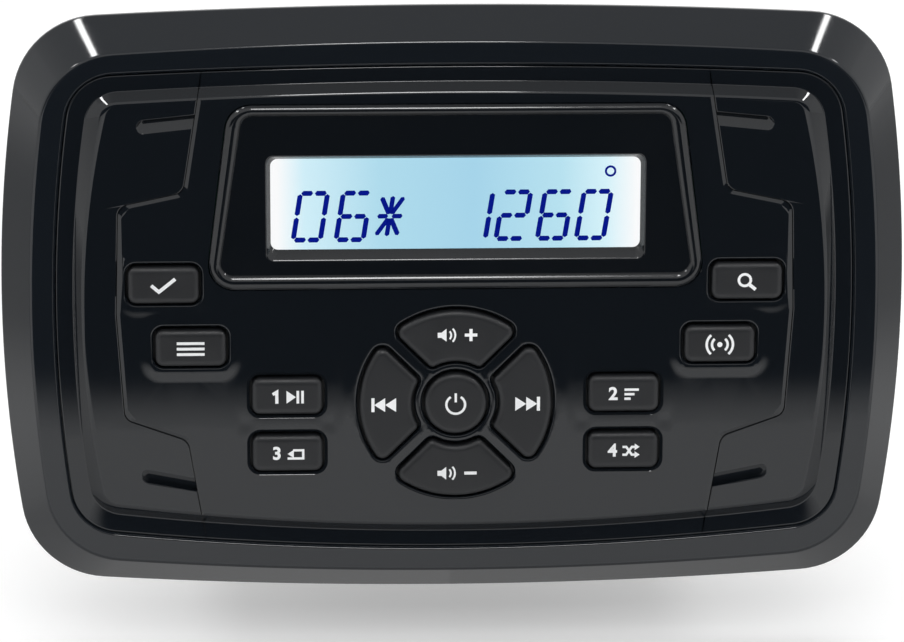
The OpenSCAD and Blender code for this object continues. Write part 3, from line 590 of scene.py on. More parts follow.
def liquid_blue():
    """Dark blue of the figures against the lit glass."""
    finish = Finish("liquid_blue", (0.001, 0.003, 0.05), 0.4, Emission_Strength=1.0, Specular_IOR_Level=0.0)
    finish.set("Emission Color", (0.001, 0.006, 0.2, 1))
    finish.gloss(finish.noise(600), 0.3, 0.5)
    return finish.material


def clear_plastic():
    """Clear window with the faintest haze."""
    finish = Finish("clear_plastic", (1, 1, 1), 0.01, IOR=1.49, Transmission_Weight=1.0)
    finish.gloss(finish.noise(80), 0.0, 0.03)
    return finish.material


RIM_BLACK = gloss_black("rim_black", 0.07, 0.0095)
PANEL_BLACK = gloss_black("panel_black", 0.05, 0.0075)
DISPLAY_BLACK = gloss_black("display_black", 0.1, 0.006)
KEY_RUBBER = moulded("key_rubber", (0.011, 0.012, 0.014), 0.42, 2600, 0.012, Specular_IOR_Level=0.42)
LEGEND_WHITE = moulded("legend_white", (0.86, 0.87, 0.88), 0.45, 3000, 0.004)
LIQUID_BLUE = liquid_blue()
FOAM = moulded("gasket_foam", (0.022, 0.022, 0.024), 0.85, 1400, 0.12)
LCD_LIGHT = lit_glass()
CLEAR = clear_plastic()
HOUSING_BLACK = moulded("housing_black", (0.022, 0.022, 0.024), 0.52, 1100, 0.05)
CAST_BLACK = moulded("cast_black", (0.028, 0.028, 0.03), 0.42, 1500, 0.035)
SOCKET_BLACK = moulded("socket_black", (0.016, 0.016, 0.017), 0.4, 2400, 0.006)
SEAL_RUBBER = moulded("seal_rubber", (0.02, 0.02, 0.021), 0.7, 2200, 0.01)
WHITE_PLASTIC = moulded("white_plastic", (0.72, 0.72, 0.7), 0.4, 2600, 0.004)
RED_PLASTIC = moulded("red_plastic", (0.4, 0.02, 0.02), 0.4, 2600, 0.004)
IVORY = moulded("ivory_plastic", (0.66, 0.62, 0.5), 0.45, 2600, 0.004)
GUIDE = moulded("guide_plastic", (0.85, 0.88, 0.9), 0.25, 3000, 0.001)
BOARD_GREEN = moulded("board_green", (0.015, 0.12, 0.05), 0.35, 900, 0.004)
BOARD_BLUE = moulded("board_blue", (0.015, 0.06, 0.16), 0.35, 900, 0.004)
SLEEVE = moulded("capacitor_sleeve", (0.03, 0.03, 0.06), 0.35, 1500, 0.003)
AMBER = moulded("fuse_amber", (0.6, 0.38, 0.03), 0.2, 2000, 0.002)
NICKEL = metal("nickel", (0.62, 0.61, 0.58), 0.25, (1, 8, 1))
GOLD = metal("gold", (0.9, 0.66, 0.28), 0.22)
TIN = metal("tin", (0.7, 0.7, 0.69), 0.35)
COPPER = metal("copper", (0.75, 0.36, 0.2), 0.3, (1, 1, 12))
SOCKET_METAL = metal("socket_metal", (0.68, 0.67, 0.64), 0.28, (1, 6, 1))


# Camera: aimed at the middle of the rim's crest, at the photograph's angle
IMAGE = Vector((904, 642))
FOCAL_PX = 4393
AIM_PX = Vector((455.4, 309.8))
DISTANCE = 700
ELEVATION = math.radians(15)
YAW = math.radians(2.43)
ROLL = math.radians(0.16)
SENSOR_W = 36


def make_camera():
    data = bpy.data.cameras.new("camera")
    camera = linked("camera", data)
    back = Vector((-math.sin(YAW) * math.cos(ELEVATION), -math.cos(YAW) * math.cos(ELEVATION),
                   math.sin(ELEVATION)))
    right = Vector((0, 0, 1)).cross(back).normalized()
    up = back.cross(right)
    tilted_right = math.cos(ROLL) * right + math.sin(ROLL) * up
    tilted_up = math.cos(ROLL) * up - math.sin(ROLL) * right
    turn = Matrix((tilted_right, tilted_up, back)).transposed().to_4x4()
    place = Vector((0, Y_CREST, 0)) + DISTANCE * back
    camera.matrix_world = Matrix.Translation(place * MM) @ turn
    data.sensor_width = SENSOR_W
    data.lens = FOCAL_PX / IMAGE.x * SENSOR_W
    data.shift_x = (IMAGE.x / 2 - AIM_PX.x) / IMAGE.x
    data.shift_y = (AIM_PX.y - IMAGE.y / 2) / IMAGE.x
    data.clip_start = 0.01
    bpy.context.scene.camera = camera


make_camera()


# Rim with its rear plate
POCKET_WING = Vector((53.7, 17.4))
POCKET_MID = Vector((41.05, 33.9))
OPENING = Vector((36.0, 30.1))
OPENING_R = 0.5
PLATE_IN = 8.2
PLATE_EDGE = 10
MOUNTS = four_places(51.5, 29)
MOUNT_R = 2.25
PANEL_SCREWS = [Vector((x * 47, z)) for x in (-1, 1) for z in (-13.6, 13.8)]
HOUSING_SCREWS = four_places(38.2, 24.2)
COUNTERBORE_R = 2.1
Y_COUNTERBORE = Y_RIM_BACK - 0.9
SCREW_HOLE_R = 1.3
PILOT_R = 1.05


def lathe(shape, at, section, steps=ROUND_STEPS):
    """Turned wall through (radius, depth) pairs."""
    return shape.loft([(circle(at, r, steps), depth) for r, depth in section])


def drill(shape, places, *section):
    """Walls of equal round holes, with the first and the last ring of each."""
    return [lathe(shape, at, section, HOLE_STEPS) for at in places]


def plus_outline(tall, wide):
    """Two crossed rectangles, given by their half sizes."""
    quarter = [Vector((wide.x, wide.y)), Vector((tall.x, wide.y)), Vector((tall.x, tall.y))]
    half = quarter + mirrored(reversed(quarter), x=-1)
    return half + mirrored(reversed(half), z=-1)


def make_rim():
    shape = Shape()
    section = soft([
        (WALL_FOOT, Y_LAND, 0), (WALL_FOOT, Y_GROOVE, 0.1), (CREST_END, Y_CREST, 0.25),
        (CREST_IN, Y_CREST, 0.7), (0, Y_EDGE, 0.9), (0, Y_RING_BACK, 0.2),
        (PLATE_IN, Y_RING_BACK, 0), (PLATE_IN, Y_RIM_BACK, 0.25), (PLATE_EDGE, Y_RIM_BACK, 0)])
    front, rear = shape.loft([(Bow(p.x).outline(), p.y) for p in section])
    pocket = plus_outline(POCKET_MID, POCKET_WING)
    edge, floor = shape.wall(pocket, Y_LAND, Y_BOARD_BACK)
    opening = box_outline(2 * OPENING.x, 2 * OPENING.y, OPENING_R)
    inner, outer = shape.wall(opening, Y_BOARD_BACK, Y_RIM_BACK)
    mounts = drill(shape, MOUNTS, (MOUNT_R, Y_LAND), (MOUNT_R, Y_RIM_BACK))
    screws = drill(shape, HOUSING_SCREWS, (SCREW_HOLE_R, Y_BOARD_BACK), (SCREW_HOLE_R, Y_RIM_BACK))
    bores = drill(shape, PANEL_SCREWS, (PILOT_R, Y_BOARD_BACK), (PILOT_R, Y_COUNTERBORE),
                  (COUNTERBORE_R, Y_COUNTERBORE), (COUNTERBORE_R, Y_RIM_BACK))
    shape.cap(front, [edge] + [hole[0] for hole in mounts])
    shape.cap(floor, [inner] + [hole[0] for hole in screws + bores])
    shape.cap(rear, [outer] + [hole[1] for hole in mounts + screws + bores])
    shape.build("rim", RIM_BLACK, stands_for=["bezel_frame"])


# Gasket: insets of its outer edge, a point between and its inner edge
GASKET = (1, 4, 8)
GASKET_EDGE = 0.3


def make_gasket():
    shape = Shape()
    outer, between_edges, inner = GASKET
    start = (between_edges, Y_RING_BACK, 0)
    edges = [(inset, y, GASKET_EDGE) for inset, y in (
        (outer, Y_RING_BACK), (outer, 0), (inner, 0), (inner, Y_RING_BACK))]
    section = soft([start, *edges, start], 3)
    shape.loft([(Bow(p.x).outline(), p.y) for p in section])
    shape.build("gasket", FOAM, stands_for=["panel_gasket"])


# Face: centre panel and trims share their bevel, their flange and the rounding along the seams
FACE_EDGE = 12.95
FACE_EDGE_R = 0.9
FACE_LAND = 0.25
FACE_SECTION = soft([(FLANGE_IN, Y_LAND, 0), (FLANGE_IN, Y_FLANGE_EDGE, 0.2), (BEVEL_FOOT, Y_GROOVE, 0.25),
                     (FACE_EDGE, Y_FACE, FACE_EDGE_R), (FACE_IN + FACE_LAND, Y_FACE, 0)], 10)
PANEL_CHAMFER = (0.55, 0.22)
TRIM_CHAMFER = (0.12, 0.1)
PANEL_RIB_IN = FACE_IN + 2.15
PANEL_RIB = 1.0


def seam_gap(depth, chamfer):
    """Half the seam's gap, which opens over a chamfer at the surface."""
    width, fall = chamfer
    return SEAM_GAP / 2 + width * max(1 - (depth - Y_FACE) / fall, 0)


# Soft collars round the key openings
COLLAR_W = 2.2
COLLAR_H = 0.09
LOW_COLLARS = SQUARE_KEYS[4:]
LOW_COLLAR = 0.3
LIP_W = 0.45
LIP_TILT = math.tan(math.radians(35.3))

# Spacing of the swelling mesh, its reach past the collars and its gap to the edges
SWELL_STEP = 0.55
SWELL_REACH = COLLAR_W + 0.4
SWELL_GAP = 0.25


def distance_to(points, outline):
    """Distance from many points to a closed outline."""
    a = np.array([tuple(p) for p in outline])
    way = np.roll(a, -1, axis=0) - a
    to = points[:, None, :] - a[None]
    along = np.clip((to * way).sum(2) / (way * way).sum(1), 0, 1)
    return np.linalg.norm(to - along[..., None] * way, axis=2).min(axis=1)


def inside(points, outline):
    """Which of many points lie inside a closed outline."""
    a = np.array([tuple(p) for p in outline])
    b = np.roll(a, -1, axis=0)
    x, z = points[:, :1], points[:, 1:]
    crosses = (a[:, 1] > z) != (b[:, 1] > z)
    rise = np.where(a[:, 1] == b[:, 1], 1, b[:, 1] - a[:, 1])
    at = a[:, 0] + (z - a[:, 1]) * (b[:, 0] - a[:, 0]) / rise
    return (crosses & (x < at)).sum(axis=1) % 2 == 1


def between(points, outlines):
    """Which of many points lie inside the first outline and outside the others."""
    shown = inside(points, outlines[0])
    for outline in outlines[1:]:
        shown &= ~inside(points, outline)
    return shown


def collar(name):
    """Share of the full collar height round one key."""
    return LOW_COLLAR if name in LOW_COLLARS else 1


def collar_height(points):
    """How far the panel swells towards the key openings."""
    flat = np.ones(len(points))
    for name in KEYS:
        away = distance_to(points, key_outline(name, KEY_GAP + LIP_W))
        share = np.clip(1 - away / COLLAR_W, 0, 1)
        flat *= 1 - collar(name) * share**2 * (3 - 2 * share)
    return COLLAR_H * (1 - flat)


def lip_section(name):
    """Edge of a key opening, from the panel's back: flat on the low collars, round on the others."""
    front = Y_FACE - COLLAR_H * collar(name)
    if name in LOW_COLLARS:
        edge = [(KEY_GAP, front + LIP_W * LIP_TILT), (KEY_GAP + LIP_W, front)]
    else:
        edge = [(KEY_GAP + LIP_W * (1 - math.cos(a)), front + LIP_W * (1 - math.sin(a)))
                for a in np.linspace(0, math.pi / 2, 7)]
    return [(KEY_GAP, Y_PANEL_BACK), *edge]


def make_panel():
    shape = Shape()
    pocket = Bow(PANEL_RIB_IN).panel(PANEL_RIB)
    ceiling, pocket_edge = shape.wall(pocket, Y_PANEL_BACK, Y_LAND)
    rear, top = shape.loft([(Bow(p.x).panel(seam_gap(p.y, PANEL_CHAMFER)), p.y) for p in FACE_SECTION])
    shape.cap(rear, [pocket_edge])
    display = ridge_outline(0, 0, 0, FIT)
    display_top, display_back = shape.wall(display, Y_FACE, Y_PANEL_BACK)
    lips, backs = [], []
    for name in KEYS:
        back, lip = shape.loft([(key_outline(name, grow), y) for grow, y in lip_section(name)])
        lips.append(lip)
        backs.append(back)
    shape.cap(ceiling, [display_back] + backs)
    swell(shape, top, display_top, lips)
    shape.build("panel", PANEL_BLACK, stands_for=["front_panel"], crease=20)


def swell(shape, ring, display, lips):
    """Closes the face with a fine mesh that rises round the key openings."""
    loops = [ring, display, *lips]
    index = [i for loop in loops for i in loop]
    bounds = [np.array([(shape.points[i].x, shape.points[i].z) for i in loop]) for loop in loops]
    edges = []
    for loop in bounds:
        first = len(edges)
        edges += [(first + i, first + (i + 1) % len(loop)) for i in range(len(loop))]
    openings = bounds[2:]
    low = np.min([np.min(b, axis=0) for b in openings], axis=0) - SWELL_REACH
    high = np.max([np.max(b, axis=0) for b in openings], axis=0) + SWELL_REACH
    rows = np.arange(low[1], high[1], SWELL_STEP * math.sqrt(0.75))
    grid = np.array([(x + (k % 2) * SWELL_STEP / 2, z) for k, z in enumerate(rows)
                     for x in np.arange(low[0], high[0], SWELL_STEP)])
    near = np.min([distance_to(grid, b) for b in openings], axis=0)
    clear = np.min([distance_to(grid, b) for b in bounds], axis=0)
    grid = grid[(near < SWELL_REACH) & (clear > SWELL_GAP) & between(grid, bounds)]
    index += range(len(shape.points), len(shape.points) + len(grid))
    shape.points += [Vector((x, Y_FACE - h, z)) for (x, z), h in zip(grid, collar_height(grid))]
    flat = [Vector(p) for b in (*bounds, grid) for p in b]
    _, _, faces, origin, _, _ = delaunay_2d_cdt(flat, edges, [], 0, 1e-6)
    centres = np.array([sum((flat[origin[i][0]] for i in face), Vector((0, 0))) / 3 for face in faces])
    shape.faces += [tuple(index[origin[i][0]] for i in face)
                    for face, shown in zip(faces, between(centres, bounds)) if shown]


# Trims with their pry pockets
RECESS_R = 4.0
RECESS_FLOOR = Y_FACE + 1.9
PRY_LIP = [(0, 0.04), (0.05, 0.012), (0.14, 0)]
PRY_INSETS = np.linspace(PRY.y / 2 - 0.05, 0.1, 8)
PRY_SECTION = ([Vector((-inset, Y_FACE + PRY_LIP[0][1] + 2 * inset * PRY_SLOPE)) for inset in PRY_INSETS]
               + [Vector((grow, Y_FACE + y)) for grow, y in PRY_LIP])


def across_at(section, depth):
    """How far across a rising section line is at one depth."""
    return float(np.interp(-depth, [-p.y for p in section], [p.x for p in section]))


def trim_levels():
    """Insets and depths of the trim's outlines from the rear, with the size and state of the pockets."""
    floor = PRY_SECTION[0]
    bevel = [p for p in FACE_SECTION[:-1] if p.x > BEVEL_FOOT]
    depths = sorted({p.y for p in bevel + PRY_SECTION if Y_FACE < p.y < floor.y - 1e-3}, reverse=True)
    at_floor = across_at(bevel, floor.y)
    return ([(p.x, p.y, floor.x, True) for p in FACE_SECTION if p.y > floor.y]
            + [(at_floor, floor.y, floor.x, closed) for closed in (True, False)]
            + [(across_at(bevel, y), y, across_at(PRY_SECTION, y), False) for y in depths]
            + [(FACE_SECTION[-1].x, Y_FACE, PRY_SECTION[-1].x, False)])


def make_trim(side, name):
    shape = Shape()
    rear, top = shape.loft([(Bow(inset).trim(side, seam_gap(y, TRIM_CHAMFER), *pocket), y)
                            for inset, y, *pocket in trim_levels()])
    recesses = []
    for at in MOUNTS:
        if at.x * side > 0:
            recess = circle(at, RECESS_R)
            mouth, bottom = shape.wall(recess, Y_LAND, RECESS_FLOOR)
            shape.cap(bottom)
            recesses.append(mouth)
    shape.cap(top)
    shape.cap(rear, recesses)
    shape.build(name + "_cover", PANEL_BLACK, stands_for=[name])


# Display surround: ridge, flat and tapered window
LENS = Vector((64, 19.4))
LENS_R = 0.3
RIDGE_FOOT = 1.15
RIDGE_POWER = 0.8


def ridge_at(share):
    return ridge_outline(*(share * w for w in RIDGE_W))


def make_display():
    shape = Shape()
    bead = [(share, Y_FACE - RIDGE_H * math.sin(math.pi * share) ** RIDGE_POWER)
            for share in np.linspace(0, 1, 17)]
    section = [(0, Y_PANEL_BACK), *bead, (RIDGE_FOOT, Y_FACE)]
    back, surround = shape.loft([(ridge_at(share), y) for share, y in section])
    seat = (Y_LENS - Y_FACE) / (Y_PANEL_BACK - Y_FACE)
    taper = soft([(0.45, Y_FACE, 0), (0, Y_FACE, 0.3), (-WINDOW_TAPER * seat, Y_LENS, 0.1),
                  (0.5, Y_LENS, 0)])
    window, shelf = shape.loft([(window_outline(*p), p.y) for p in taper])
    shape.cap(surround, [window])
    recess = box_outline(LENS.x + 2 * FIT, LENS.y + 2 * FIT, LENS_R, Vector((0, WINDOW_Z)))
    seat_edge, mouth = shape.wall(recess, Y_LENS, Y_PANEL_BACK)
    shape.cap(seat_edge, [shelf])
    shape.cap(back, [mouth])
    shape.build("display_surround", DISPLAY_BLACK, stands_for=["display_bezel"])


make_rim()
make_gasket()
make_panel()
make_trim(-1, "left_trim")
make_trim(1, "right_trim")
make_display()


# Keys
def make_key(name):
    shape = Shape()
    crown = [(-KEY_EDGE.x * (1 - math.cos(a)), Y_KEY + KEY_EDGE.y * (1 - math.sin(a)))
             for a in np.linspace(0, math.pi / 2, 8)]
    section = [(KEY_FLANGE, Y_FLANGE_BACK), (KEY_FLANGE, Y_FLANGE), (0, Y_FLANGE), *crown]
    rear, top = shape.loft([(key_outline(name, grow), y) for grow, y in section])
    pill = circle(key_centre(name), PILL_R, ROD_STEPS)
    root, end = shape.wall(pill, Y_FLANGE_BACK, Y_PILL)
    shape.cap(top)
    shape.cap(rear, [root])
    shape.cap(end)
    shape.build(name + "_cap", KEY_RUBBER, body=name, stands_for=[name])


for key in KEYS:
    make_key(key)


# Signs on the keys: closed outlines drawn round the middle of a key
SIGN_T = 0.03
SIGN_LIFT = 0.002
SIGN_OUT = 0.3
LINE_W = 0.42


def stroke(points, width=LINE_W):
    """Outline of a line of one width through some points."""
    left, right = [], []
    for i, p in enumerate(points):
        near = (points[max(i - 1, 0)], p, points[min(i + 1, len(points) - 1)])
        ways = [(b - a).normalized() for a, b in zip(near, near[1:]) if (b - a).length > 0]
        way = sum(ways, Vector((0, 0))).normalized()
        out = Vector((-way.y, way.x)) * width / 2 / max(way.dot(ways[0]), 0.3)
        left.append(p + out)
        right.append(p - out)
    return left + right[::-1]


def line(*points, width=LINE_W):
    return stroke([Vector(p) for p in points], width)


def upright(x, half_h, width=LINE_W):
    return line((x, half_h), (x, -half_h), width=width)


def level(start, end, z=0.0, width=LINE_W):
    return line((start, z), (end, z), width=width)


def bend(x, z, r, start, end, width=LINE_W):
    """Arc as a stroke, with angles in degrees."""
    return stroke(arc(Vector((x, z)), r, math.radians(start), math.radians(end), 24), width)


def shape_at(outline, x, z=0.0):
    return [Vector((p[0] + x, p[1] + z)) for p in outline]


def triangle(x, w, h):
    return [Vector((x, h / 2)), Vector((x, -h / 2)), Vector((x + w, 0))]


def speaker(x):
    body = [(-1.3, 0.42), (-0.7, 0.42), (0.1, 1.05), (0.1, -1.05), (-0.7, -0.42), (-1.3, -0.42)]
    return [shape_at(body, x), bend(x - 0.1, 0, 0.95, -42, 42, 0.3), bend(x - 0.1, 0, 1.6, -42, 42, 0.3)]


SKIP = [triangle(-1.95, 1.75, 2.3), triangle(-0.2, 1.75, 2.3), upright(1.75, 1.15, 0.5)]
MINUS = level(1.4, 3.4, width=0.5)
ARROW = triangle(1.85, 0.8, 1.1)
CROSSING = ((-0.1, 0.65), (0.5, 0.65), (1.4, -0.65), (1.9, -0.65))
SIGNS = {
    "key_power": [bend(0, -0.05, 1.5, 122, 418, 0.38), line((0, 0.35), (0, 1.85), width=0.38)],
    "key_next": SKIP,
    "key_previous": [mirrored(outline, x=-1) for outline in SKIP],
    "key_volume_up": [*speaker(-1.6), MINUS, upright(2.4, 1, 0.5)],
    "key_volume_down": [*speaker(-1.6), MINUS],
    "key_upper_left": [line((-1.9, 0.1), (-0.7, -0.95), (1.9, 1.15), width=0.55)],
    "key_lower_left": [level(-2.2, 2.2, z, 0.45) for z in (0.9, 0, -0.9)],
    "key_upper_right": [bend(-0.4, 0.25, 0.95, 0, 360, 0.42), line((0.3, -0.45), (1.35, -1.3), width=0.55)],
    "key_lower_right": [circle(Vector((0, 0)), 0.42, 20)]
    + [bend(0, 0, r, turn - 48, turn + 48, 0.4) for turn in (0, 180) for r in (1.25, 2.1)],
    "key_1": [line((-2.3, 0.45), (-1.65, 0.85), (-1.65, -1.05), width=0.5), triangle(-0.1, 1.5, 2.1),
              upright(1.7, 1.05), upright(2.45, 1.05)],
    "key_2": [level(0.1, end, z, 0.4) for end, z in ((2.4, 0.75), (1.7, 0), (1.1, -0.75))],
    "key_3": [line((0.0, -0.75), (2.5, -0.75), (2.5, 0.6), (0.9, 0.6), width=0.38),
              mirrored(triangle(-1.0, 1.0, 1.35), x=-1)],
    "key_4": [line(*((x, side * z) for x, z in CROSSING), width=0.38) for side in (1, -1)]
    + [shape_at(ARROW, 0, z) for z in (0.65, -0.65)],
}
NUMBER_AT = -1.7
NUMBER_SIZE = 2.9
NUMBER_WEIGHT = 0.09


def stamp(shape, outline, front, back):
    """Thin solid on an outline."""
    shape.solid([(outline, front), (outline, back)])


def number_mesh(text):
    """Flat outlines of a figure as a mesh in the plane of the face."""
    curve = bpy.data.curves.new("figure", "FONT")
    curve.body = text
    curve.size = NUMBER_SIZE * MM
    curve.align_x = "CENTER"
    curve.align_y = "CENTER"
    curve.offset = NUMBER_WEIGHT * MM
    curve.extrude = SIGN_T / 2 * MM
    holder = linked("figure", curve)
    mesh = bpy.data.meshes.new_from_object(holder.evaluated_get(bpy.context.evaluated_depsgraph_get()))
    bpy.data.objects.remove(holder)
    return mesh


def make_signs(name, outlines):
    at = key_centre(name, SIGN_OUT)
    shape = Shape()
    for lift, outline in enumerate(outlines):
        stamp(shape, shape_at(outline, at.x, at.y), Y_KEY - SIGN_T - SIGN_LIFT * lift, Y_KEY + SIGN_T)
    shape.build(name + "_sign", LEGEND_WHITE, body=name)


def make_number(name):
    mesh = number_mesh(name[-1])
    at = middle(name) + Vector((NUMBER_AT, 0))
    upright = Matrix.Rotation(math.pi / 2, 4, "X")
    mesh.transform(Matrix.Translation(Vector((at.x, Y_KEY - SIGN_T / 2, at.y)) * MM) @ upright)
    mesh.materials.clear()
    mesh.materials.append(LEGEND_WHITE)
    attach(linked(name + "_number", mesh), name)


for key, outlines in SIGNS.items():
    make_signs(key, outlines)
for key in SQUARE_KEYS[5:]:
    make_number(key)


# Figures on the display: slanted segments a little in front of the glass
SLANT = math.tan(math.radians(9))
DIGIT = Vector((4.3, 7.6))
BAR_W = 0.82
BAR_GAP = 0.13
SEGMENTS = {"0": "abcdef", "1": "bc", "2": "abged", "6": "afgcde"}
STAR = ((1, 0), (0.85, 0.85), (0, 0.9), (-0.85, 0.85), (-1, 0), (-0.85, -0.85), (0, -0.9), (0.85, -0.85))
STAR_W = 0.75
STAR_HUB = 0.06
BAR_TIP = 0.35
SEGMENT_ENDS = {"a": ("tl t", "t tr"), "b": ("tr mr",), "c": ("mr br",), "d": ("bl b", "b br"),
                "e": ("ml bl",), "f": ("tl ml",), "g": ("ml m", "m mr")}
SEGMENT_POINTS = {"tl": (-1, 1), "t": (0, 1), "tr": (1, 1), "ml": (-1, 0), "m": (0, 0), "mr": (1, 0),
                  "bl": (-1, -1), "b": (0, -1), "br": (1, -1)}


def bar(start, end, width=BAR_W):
    """One segment with pointed ends."""
    way = (end - start).normalized()
    out = Vector((-way.y, way.x)) * width / 2
    tip = way * width * BAR_TIP
    a = start + way * BAR_GAP
    b = end - way * BAR_GAP
    return [a, a + tip + out, b - tip + out, b, b - tip - out, a + tip - out]


def figure(letter):
    """Segments of one figure, centred on its middle."""
    x, z = DIGIT.x / 2, DIGIT.y / 2
    if letter == "*":
        spokes = [Vector((a * x, b * z)) for a, b in STAR]
        return [bar(STAR_HUB * spoke, spoke, STAR_W) for spoke in spokes]
    point = {name: Vector((a * x, b * z)) for name, (a, b) in SEGMENT_POINTS.items()}
    pairs = [pair.split() for segment in SEGMENTS[letter] for pair in SEGMENT_ENDS[segment]]
    return [bar(point[a], point[b]) for a, b in pairs]


def slanted(outline, x, z):
    return [Vector((p.x + p.y * SLANT + x, p.y + z)) for p in outline]


FIGURES = (("0", -23.0), ("6", -16.2), ("*", -10.4), ("1", 3.2), ("2", 9.2), ("6", 15.8), ("0", 22.0))
FIGURES_Z = WINDOW_Z - 2.1
SMALL_RING = bend(24.6, WINDOW_Z + 5, 0.75, 0, 360, 0.35)
Y_FIGURES = (Y_GLASS - 0.06, Y_GLASS + 0.02)


def make_figures():
    shape = Shape()
    segments = [slanted(outline, x, FIGURES_Z) for letter, x in FIGURES for outline in figure(letter)]
    for outline in (*segments, SMALL_RING):
        stamp(shape, outline, *Y_FIGURES)
    shape.build("display_figures", LIQUID_BLUE)


make_figures()


# Rear chassis: housing, finned cover, screws and sockets
HOUSING_LOW, HOUSING_HIGH = corners("rear_housing")
HOUSING_SIZE = Vector((HOUSING_HIGH.x - HOUSING_LOW.x, HOUSING_HIGH.z - HOUSING_LOW.z))
HOUSING_R = 4
HOUSING_WALL = 2.2
BAND_D = 0.5
BAND_SLOPE = 0.4
BAND_W = 2
BAND_AT = (7, 12, 34.5, 39.5)
BOSS_R = 2.6
BOSS_LENGTH = 10
COVER_SCREWS = four_places(39.8, 27.8)
COVER_FRONT = corners("rear_cover")[0].y
COVER_BACK = COVER_FRONT + 3
FIN_BACK = corners("rear_cover")[1].y
FIN_COUNT = 13
FIN_REACH = 36.2
FIN_END = 0.8
HARNESS_AT = middle("harness_socket")
HARNESS = Vector((32, 15))
HARNESS_WALL = 1.3
PIN_HALF_W = 0.45
PIN_COUNT = 8
PIN_PITCH = Vector((3.3, 5.2))
SOCKET_BACK = corners("harness_socket")[1].y
FIN_LOW = HARNESS_AT.y + HARNESS.y / 2 + 4
FIN_HIGH = HOUSING_HIGH.z - 1.6
ANTENNA_AT = Vector((middle("antenna_socket").x, HARNESS_AT.y))
ANTENNA_R = 4.75
ANTENNA_OUTER_R = 6.35
ANTENNA_DEPTH = 13
ANTENNA_FLOOR = 1.6
ANTENNA_PIN_R = 1.6
ANTENNA_LINER = 0.55
LINE_OUT_R = 4.15
LINE_OUT_HOLE_R = 1.7
LINE_OUT_SHELL = 0.75
LINE_OUT_BLOCK = 5
LINE_OUT_AT = [Vector((x, HARNESS_AT.y)) for x in (corners("line_out_sockets")[0].x + LINE_OUT_R,
                                                   corners("line_out_sockets")[1].x - LINE_OUT_R)]
BOARD_TOP = corners("antenna_socket")[0].z
LINER_GAP = 0.02

# Screws: head radius, head height, shank radius and length
COVER_SCREW = (2, 1.4, 1.05, 11.8)
PANEL_SCREW = (1.9, 0.8, 0.8, Y_COUNTERBORE - Y_PANEL_BACK)


def housing_outline(inset):
    return box_outline(HOUSING_SIZE.x - 2 * inset, HOUSING_SIZE.y - 2 * inset, HOUSING_R - inset * 0.8)


def turned_solid(shape, at, section):
    """Turned wall through (radius, depth) pairs, closed at both ends."""
    for ring in lathe(shape, at, section):
        shape.cap(ring)


def rod(shape, at, r, front, back):
    """Closed straight rod."""
    stamp(shape, circle(at, r, ROD_STEPS), front, back)


def soft_block(shape, low, high, front, back, edge):
    """Closed box between two corners in X and Z, with its edges rounded."""
    size = Vector(high) - Vector(low)
    at = (Vector(high) + Vector(low)) / 2
    land = 1.2 * edge
    section = soft([(land, front, 0), (0, front, edge), (0, back, edge), (land, back, 0)], 4)
    shape.solid([(box_outline(size.x - 2 * p.x, size.y - 2 * p.x, max(edge - p.x, 0.2 * edge), at, 4), p.y)
                 for p in section])


def make_housing():
    shape = Shape()
    front, back = HOUSING_LOW.y, HOUSING_HIGH.y
    middle_y = (front + back) / 2
    steps = ((0, 0), (BAND_D, BAND_SLOPE), (BAND_D, BAND_W - BAND_SLOPE), (0, BAND_W))
    bands = [(inset, front + y + along, 0.15) for y in BAND_AT for inset, along in steps]
    section = soft([(HOUSING_WALL, middle_y, 0), (HOUSING_WALL, front, 0.2), (0, front, 0.5), *bands,
                    (0, back, 0.5), (HOUSING_WALL, back, 0.2), (HOUSING_WALL, middle_y, 0)], 3)
    shape.loft([(housing_outline(p.x), p.y) for p in section])
    for at in HOUSING_SCREWS:
        rod(shape, at, BOSS_R, front, front + BOSS_LENGTH)
    for at in COVER_SCREWS:
        rod(shape, at, BOSS_R, back - BOSS_LENGTH, back)
    shape.build("housing_shell", HOUSING_BLACK, stands_for=["rear_housing"])


def fin_outline(half_w, x):
    """Fin with round ends at one of its heights."""
    r = max(0.98 * min(half_w, FIN_END), 0.05)
    at = Vector((x, (FIN_LOW + FIN_HIGH) / 2))
    return box_outline(2 * half_w, FIN_HIGH - FIN_LOW - 2 * FIN_END + 2 * half_w, r, at, 5)


def make_cover():
    shape = Shape()
    section = soft([(2, COVER_FRONT, 0), (0, COVER_FRONT, 0.3), (0, COVER_BACK - 0.6, 0.3),
                    (0.6, COVER_BACK, 0.3), (2, COVER_BACK, 0)], 4)
    front, back = shape.loft([(housing_outline(p.x), p.y) for p in section])
    holes = [shape.wall(outline, COVER_FRONT, COVER_BACK) for outline in (
        box_outline(HARNESS.x + 2 * FIT, HARNESS.y + 2 * FIT, 0.4, HARNESS_AT),
        circle(ANTENNA_AT, ANTENNA_OUTER_R + FIT), *(circle(at, LINE_OUT_R + FIT) for at in LINE_OUT_AT),
        *(circle(at, SCREW_HOLE_R, ROD_STEPS) for at in COVER_SCREWS))]
    shape.cap(front, [hole[0] for hole in holes])
    shape.cap(back, [hole[1] for hole in holes])
    fin = soft([(1.5, COVER_BACK - 0.2, 0), (1.3, COVER_BACK, 0), (0.82, COVER_BACK + 0.5, 0.4),
                (0.6, FIN_BACK, 0.45), (0.1, FIN_BACK, 0)], 5)
    for x in np.linspace(-FIN_REACH, FIN_REACH, FIN_COUNT):
        shape.solid([(fin_outline(p.x, x), p.y) for p in fin])
    shape.build("heat_sink", CAST_BLACK, stands_for=["rear_cover"])


